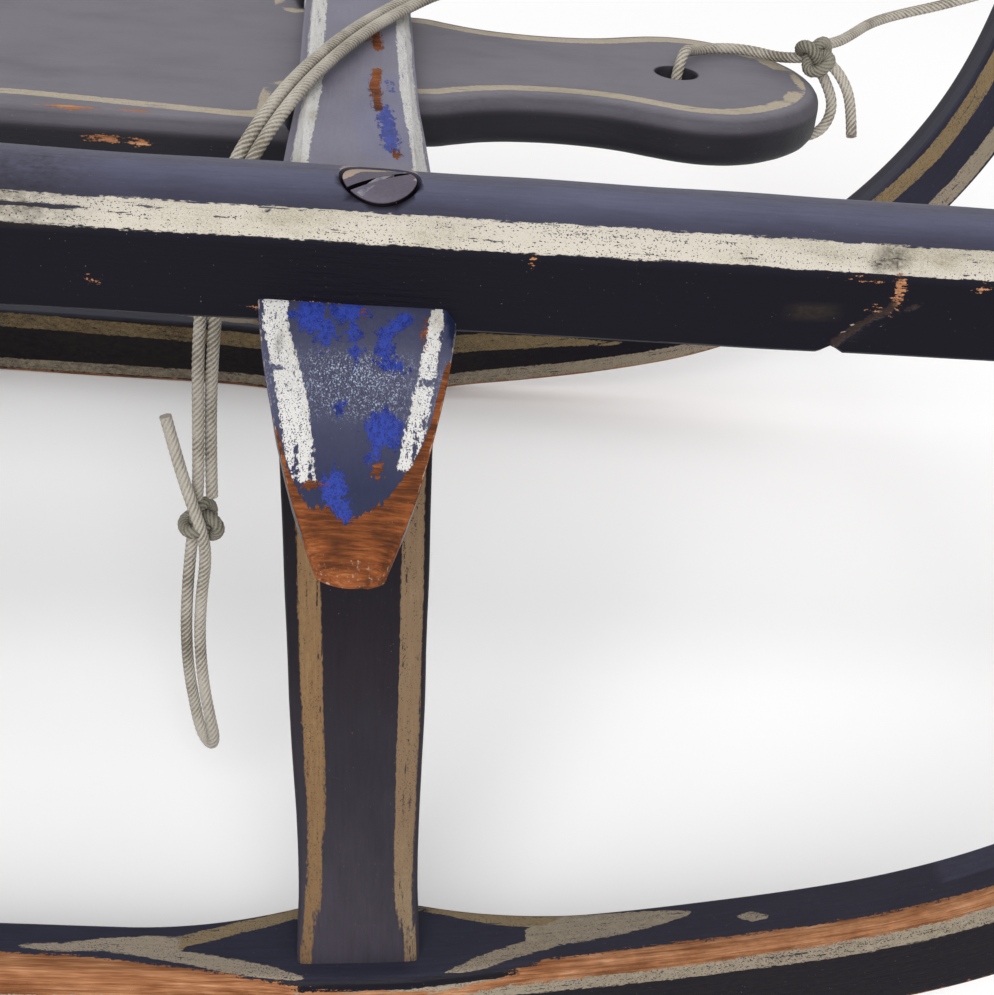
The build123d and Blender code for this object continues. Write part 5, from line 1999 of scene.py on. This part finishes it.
@dataclass
class PullCord:
    """The thin cord: four lengths, two knots and the turns on the rung."""

    diameter: float = 2.8
    routes: tuple[Route, ...] = (
        Route("cord_tongue", (
            (309.3, -7.0, 165.5), (309.2, -3.0, 170.5), (307.6, -0.6, 176.0), (303.4, 1.0, 181.0),
            (299.0, 3.5, 182.4), (295.0, 7.0, 180.6), (291.0, 12.5, 178.8), (285.5, 17.5, 178.5),
            (279.0, 18.3, 178.4), (272.5, 15.6, 178.4), (268.0, 10.4, 179.0), (264.9, 4.6, 180.8),
            (263.2, 1.2, 176.0), (262.9, 0.2, 170.0), (263.1, 0.0, 165.2), (267.0, 0.0, 161.0),
            (274.0, 0.2, 160.8), (296.0, 0.5, 161.3), (303.2, 1.4, 162.8), (305.9, 2.8, 168.0),
            (304.9, 4.2, 173.2), (301.8, 4.6, 177.4),
        )),
        Route("cord_lead", (
            (300.4, 5.6, 184.8), (305.5, 10.0, 184.6), (311.5, 18.0, 185.0), (319.0, 30.0, 185.1),
            (328.5, 39.0, 185.7), (346.0, 43.5, 189.5), (372.0, 53.0, 196.5),
            (396.0, 61.5, 201.5), (416.5, 65.2, 207.6),
        )),
        Route("cord_strand_long", (
            (416.5, 72.0, 207.6), (392.0, 72.5, 199.5), (350.0, 72.0, 189.0),
            (305.0, 68.0, 183.5), (262.0, 59.0, 181.5), (226.0, 42.0, 182.8),
            (202.0, 20.0, 187.4), (190.3, -1.0, 187.2), (179.2, -25.6, 187.0),
            (168.5, -60.0, 187.2), (161.5, -80.0, 183.4), (155.0, -90.5, 174.0),
            (151.5, -92.0, 158.0), (150.0, -91.5, 136.0), (150.6, -91.0, 113.0),
            (150.9, -90.3, 97.0), (149.6, -90.6, 84.0), (148.9, -91.0, 70.0),
            (148.9, -90.6, 58.0), (149.7, -89.0, 46.0), (151.2, -87.9, 36.0),
            (152.2, -88.3, 31.0), (153.6, -89.1, 27.0), (156.0, -92.8, 27.0),
            (156.5, -94.3, 31.0), (155.5, -94.6, 36.0), (153.4, -93.2, 46.0),
            (152.1, -91.8, 58.0), (152.2, -91.4, 70.0), (153.2, -92.6, 81.0),
            (152.4, -94.2, 89.0), (149.6, -94.0, 97.0), (146.6, -93.0, 106.0),
            (143.4, -91.8, 117.5),
        )),
        Route("cord_strand_short", (
            (416.5, 68.8, 207.6), (392.0, 69.3, 199.5), (350.0, 68.8, 189.0),
            (305.4, 64.8, 183.5), (262.8, 55.9, 181.5), (227.6, 39.2, 182.8),
            (204.6, 18.1, 187.4), (193.3, -2.2, 187.2), (182.2, -26.8, 187.0),
            (171.6, -61.3, 187.2), (164.6, -81.5, 183.6), (158.0, -91.8, 174.2),
            (154.7, -92.8, 158.0), (153.2, -91.5, 136.0), (153.0, -88.6, 113.0),
            (153.9, -89.0, 96.0),
        )),
    )
    turns: int = 6
    turns_middle: float = 68.6
    turns_width: float = 17.0

    def lay(self, holder: Thing, tree: Tree, cord: LaidCord) -> Mesh:
        """Lays strands along a curve object and returns the plain mesh."""
        step = holder.modifiers.new("laid", "NODES")
        step.node_group = tree
        sizes = {"Radius": cord.radius * MM, "Lay": cord.lay * MM, "Step": cord.step * MM}
        sizes["Groove"] = cord.groove
        for item in tree.interface.items_tree:
            if item.name in sizes:
                step[item.identifier] = sizes[item.name]
        mesh = Pieces.evaluated(holder)
        bpy.data.objects.remove(holder)
        return mesh

    def keep(
        self, name: str, mesh: Mesh, material: Finish, node: str
    ) -> Thing:
        """Hands one cord piece to the frame."""
        return Pieces.hand_over(Pieces.adopt(name, mesh), material, node, "cord")

    def knot(self, knot: Knot, tree: Tree, material: Finish) -> Thing:
        """Ties a knot as a closed-looking run of cord."""
        centre, radius, size, turn = knot.value
        spin = Matrix.Identity(3)
        for angle, axis in zip(turn, "XYZ"):
            spin = spin @ Matrix.Rotation(angle, 3, axis)
        points = []
        for t in (2 * math.pi * k / 45 for k in range(46)):
            x, y = math.sin(t) + 2 * math.sin(2 * t), math.cos(t) - 2 * math.cos(2 * t)
            bend = Vector((x, y, -1.5 * math.sin(3 * t)))
            points.append(tuple(Vector(centre) + spin @ bend * size))
        name = "knot_" + knot.word
        laid = LaidCord(radius, lay=6.0, step=0.5)
        mesh = self.lay(Route(name, tuple(points)).spline(), tree, laid)
        return self.keep("tied_" + name, mesh, material, name)

    def rung_turns(self, tree: Tree, material: Finish) -> Thing:
        """Winds the cord on the rung."""
        rung = Rung()
        x, z = rung.centre()
        coil = rung.radius + 0.1 + self.diameter / 2
        points = []
        for share in (k / (self.turns * 24) for k in range(self.turns * 24 + 1)):
            a = 2 * math.pi * self.turns * share + math.pi / 2
            y = self.turns_middle + (share - 0.5) * (self.turns_width - self.diameter)
            points.append((x + coil * math.cos(a), y, z + coil * math.sin(a)))
        mesh = self.lay(Route("rung_turns", tuple(points)).spline(), tree, LaidCord())
        return self.keep("rung_turns", mesh, material, "knot_rung")

    def dress(self, finishes: Finishes) -> None:
        """Makes every length of the cord."""
        material = finishes.cord
        tree = LaidCord().tree(material)
        tied = {knot: self.knot(knot, tree, finishes.knot) for knot in Knot}
        turns = self.rung_turns(tree, material)
        for route in self.routes:
            holder = route.spline()
            line = Pieces.evaluated(holder)
            mesh = self.lay(holder, tree, LaidCord())
            piece = self.keep("pull_" + route.name, mesh, material, route.name)


class Fasteners:
    """The CAD wedges and deck pegs, which keep their meshes and get a finish."""

    @staticmethod
    def dress(frame: Mapping[str, Any], finishes: Finishes) -> None:
        """Gives each of them the end grain."""
        for name, node in frame["nodes"].items():
            if name.startswith(("wedge_", "deck_pegs_")):
                for slot in node.material_slots:
                    slot.material = finishes.wedge if name.startswith("wedge_") else finishes.wood
                LOG.info("%s: end grain", name)


# Floor, light and camera


@dataclass(frozen=True)
class Viewpoint:
    """Camera of the photograph, found from the sled's own edges."""

    place: Point = (173.0, -438.1, 305.5)
    pitch: float = 0.5283
    yaw: float = 0.1306
    roll: float = 0.1241
    focal_pixels: float = 1768.0
    sensor: float = 36.0

    def build(self) -> None:
        """Makes the camera and gives it to the scene."""
        data = bpy.data.cameras.new("camera")
        data.sensor_width = self.sensor
        data.lens = self.focal_pixels * self.sensor / PHOTO_SIDE
        data.clip_start = 0.01
        data.clip_end = 30.0
        camera = link("camera", data)
        level = Vector((math.cos(self.yaw), -math.sin(self.yaw), 0))
        forward = math.cos(self.pitch)
        ahead = Vector(
            (forward * math.sin(self.yaw), forward * math.cos(self.yaw), -math.sin(self.pitch))
        )
        upward = level.cross(ahead)
        right = level * math.cos(self.roll) + upward * math.sin(self.roll)
        above = upward * math.cos(self.roll) - level * math.sin(self.roll)
        turn = Matrix((right, above, -ahead)).transposed().to_quaternion()
        camera.matrix_world = Matrix.LocRotScale(Vector(self.place) * MM, turn, None)
        bpy.context.scene.camera = camera


@dataclass(frozen=True)
class Lamp:
    """One soft area light, with its places in metres."""

    name: str
    place: Point
    aim: Point
    width: float
    power: float

    def build(self) -> None:
        """Makes the light, aimed at its point."""
        data = bpy.data.lights.new(self.name, "AREA")
        data.shape = "SQUARE"
        data.size = self.width
        data.energy = self.power
        lamp = link(self.name, data)
        course = Vector(self.aim) - Vector(self.place)
        turn = course.to_track_quat("-Z", "Y").to_matrix().to_4x4()
        lamp.matrix_world = Matrix.Translation(Vector(self.place)) @ turn


@dataclass
class Studio:
    """Plain pale floor, soft light from above and a white surround."""

    floor_half: float = 6.0
    floor_colour: Colour = (0.955, 0.94, 0.935)
    floor_mottle: Colour = (0.965, 0.96, 0.965)
    ambient: float = 0.78
    lamps: tuple[Lamp, ...] = (
        Lamp("overhead", (0.35, 0.85, 1.9), (0.15, 0.0, 0.1), 1.9, 2.0),
        Lamp("front", (-0.1, -2.0, 1.3), (0.1, -0.1, 0.0), 1.5, 56.0),
    )

    def build(self) -> None:
        """Makes the floor, the lamps and the world."""
        scene = bpy.context.scene
        scene.view_settings.view_transform = "Standard"
        world = bpy.data.worlds.new("surround")
        scene.world = world
        world.use_nodes = True
        world.node_tree.nodes.clear()
        bench = Bench(world.node_tree)
        ray = world.node_tree.nodes.new("ShaderNodeLightPath")
        seen = Wire(bench, ray.outputs["Is Camera Ray"])
        for name in ("Is Glossy Ray", "Is Transmission Ray"):
            seen = seen.either(Wire(bench, ray.outputs[name]))
        strength = seen * (1.0 - self.ambient) + self.ambient
        glow = {"Color": (1.0, 1.0, 1.0), "Strength": strength}
        back = bench.node("ShaderNodeBackground", {}, glow)
        bench.node("ShaderNodeOutputWorld", {}, {"Surface": back})
        for lamp in self.lamps:
            lamp.build()
        self.floor()

    def floor(self) -> None:
        """Makes the floor with a faint mottle."""
        mesh = bpy.data.meshes.new("floor")
        h = self.floor_half
        mesh.from_pydata([(-h, -h, 0), (h, -h, 0), (h, h, 0), (-h, h, 0)], [], [(0, 1, 2, 3)])
        plate = link("floor", mesh)
        material, bench = new_material("pale_floor")
        place = bench.node("ShaderNodeTexCoord", output="Object")
        look = {"Vector": place, "Scale": 3.0, "Detail": 2.0}
        mottle = bench.node("ShaderNodeTexNoise", {}, look)
        colour = bench.mix(mottle, self.floor_colour, self.floor_mottle)
        bench.surface(colour, 0.9, mottle, 0.01, 0.1)
        mesh.materials.append(material)


def main() -> None:
    """Builds the sled's dressed pieces in order and reports them."""
    logging.basicConfig(level=logging.INFO, format="%(name)s %(message)s")
    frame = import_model()
    Viewpoint().build()
    finishes = Finishes()
    PullCord().dress(finishes)
    for side in Side:
        for piece in (Runner(side), Rail(side), *(Post(side, bay) for bay in Bay)):
            piece.dress(finishes)
    for piece in (*map(Beam, Bay), Plank(), Rung()):
        piece.dress(finishes)
    Fasteners.dress(frame, finishes)
    Studio().build()


if __name__ == "__main__":
    main()
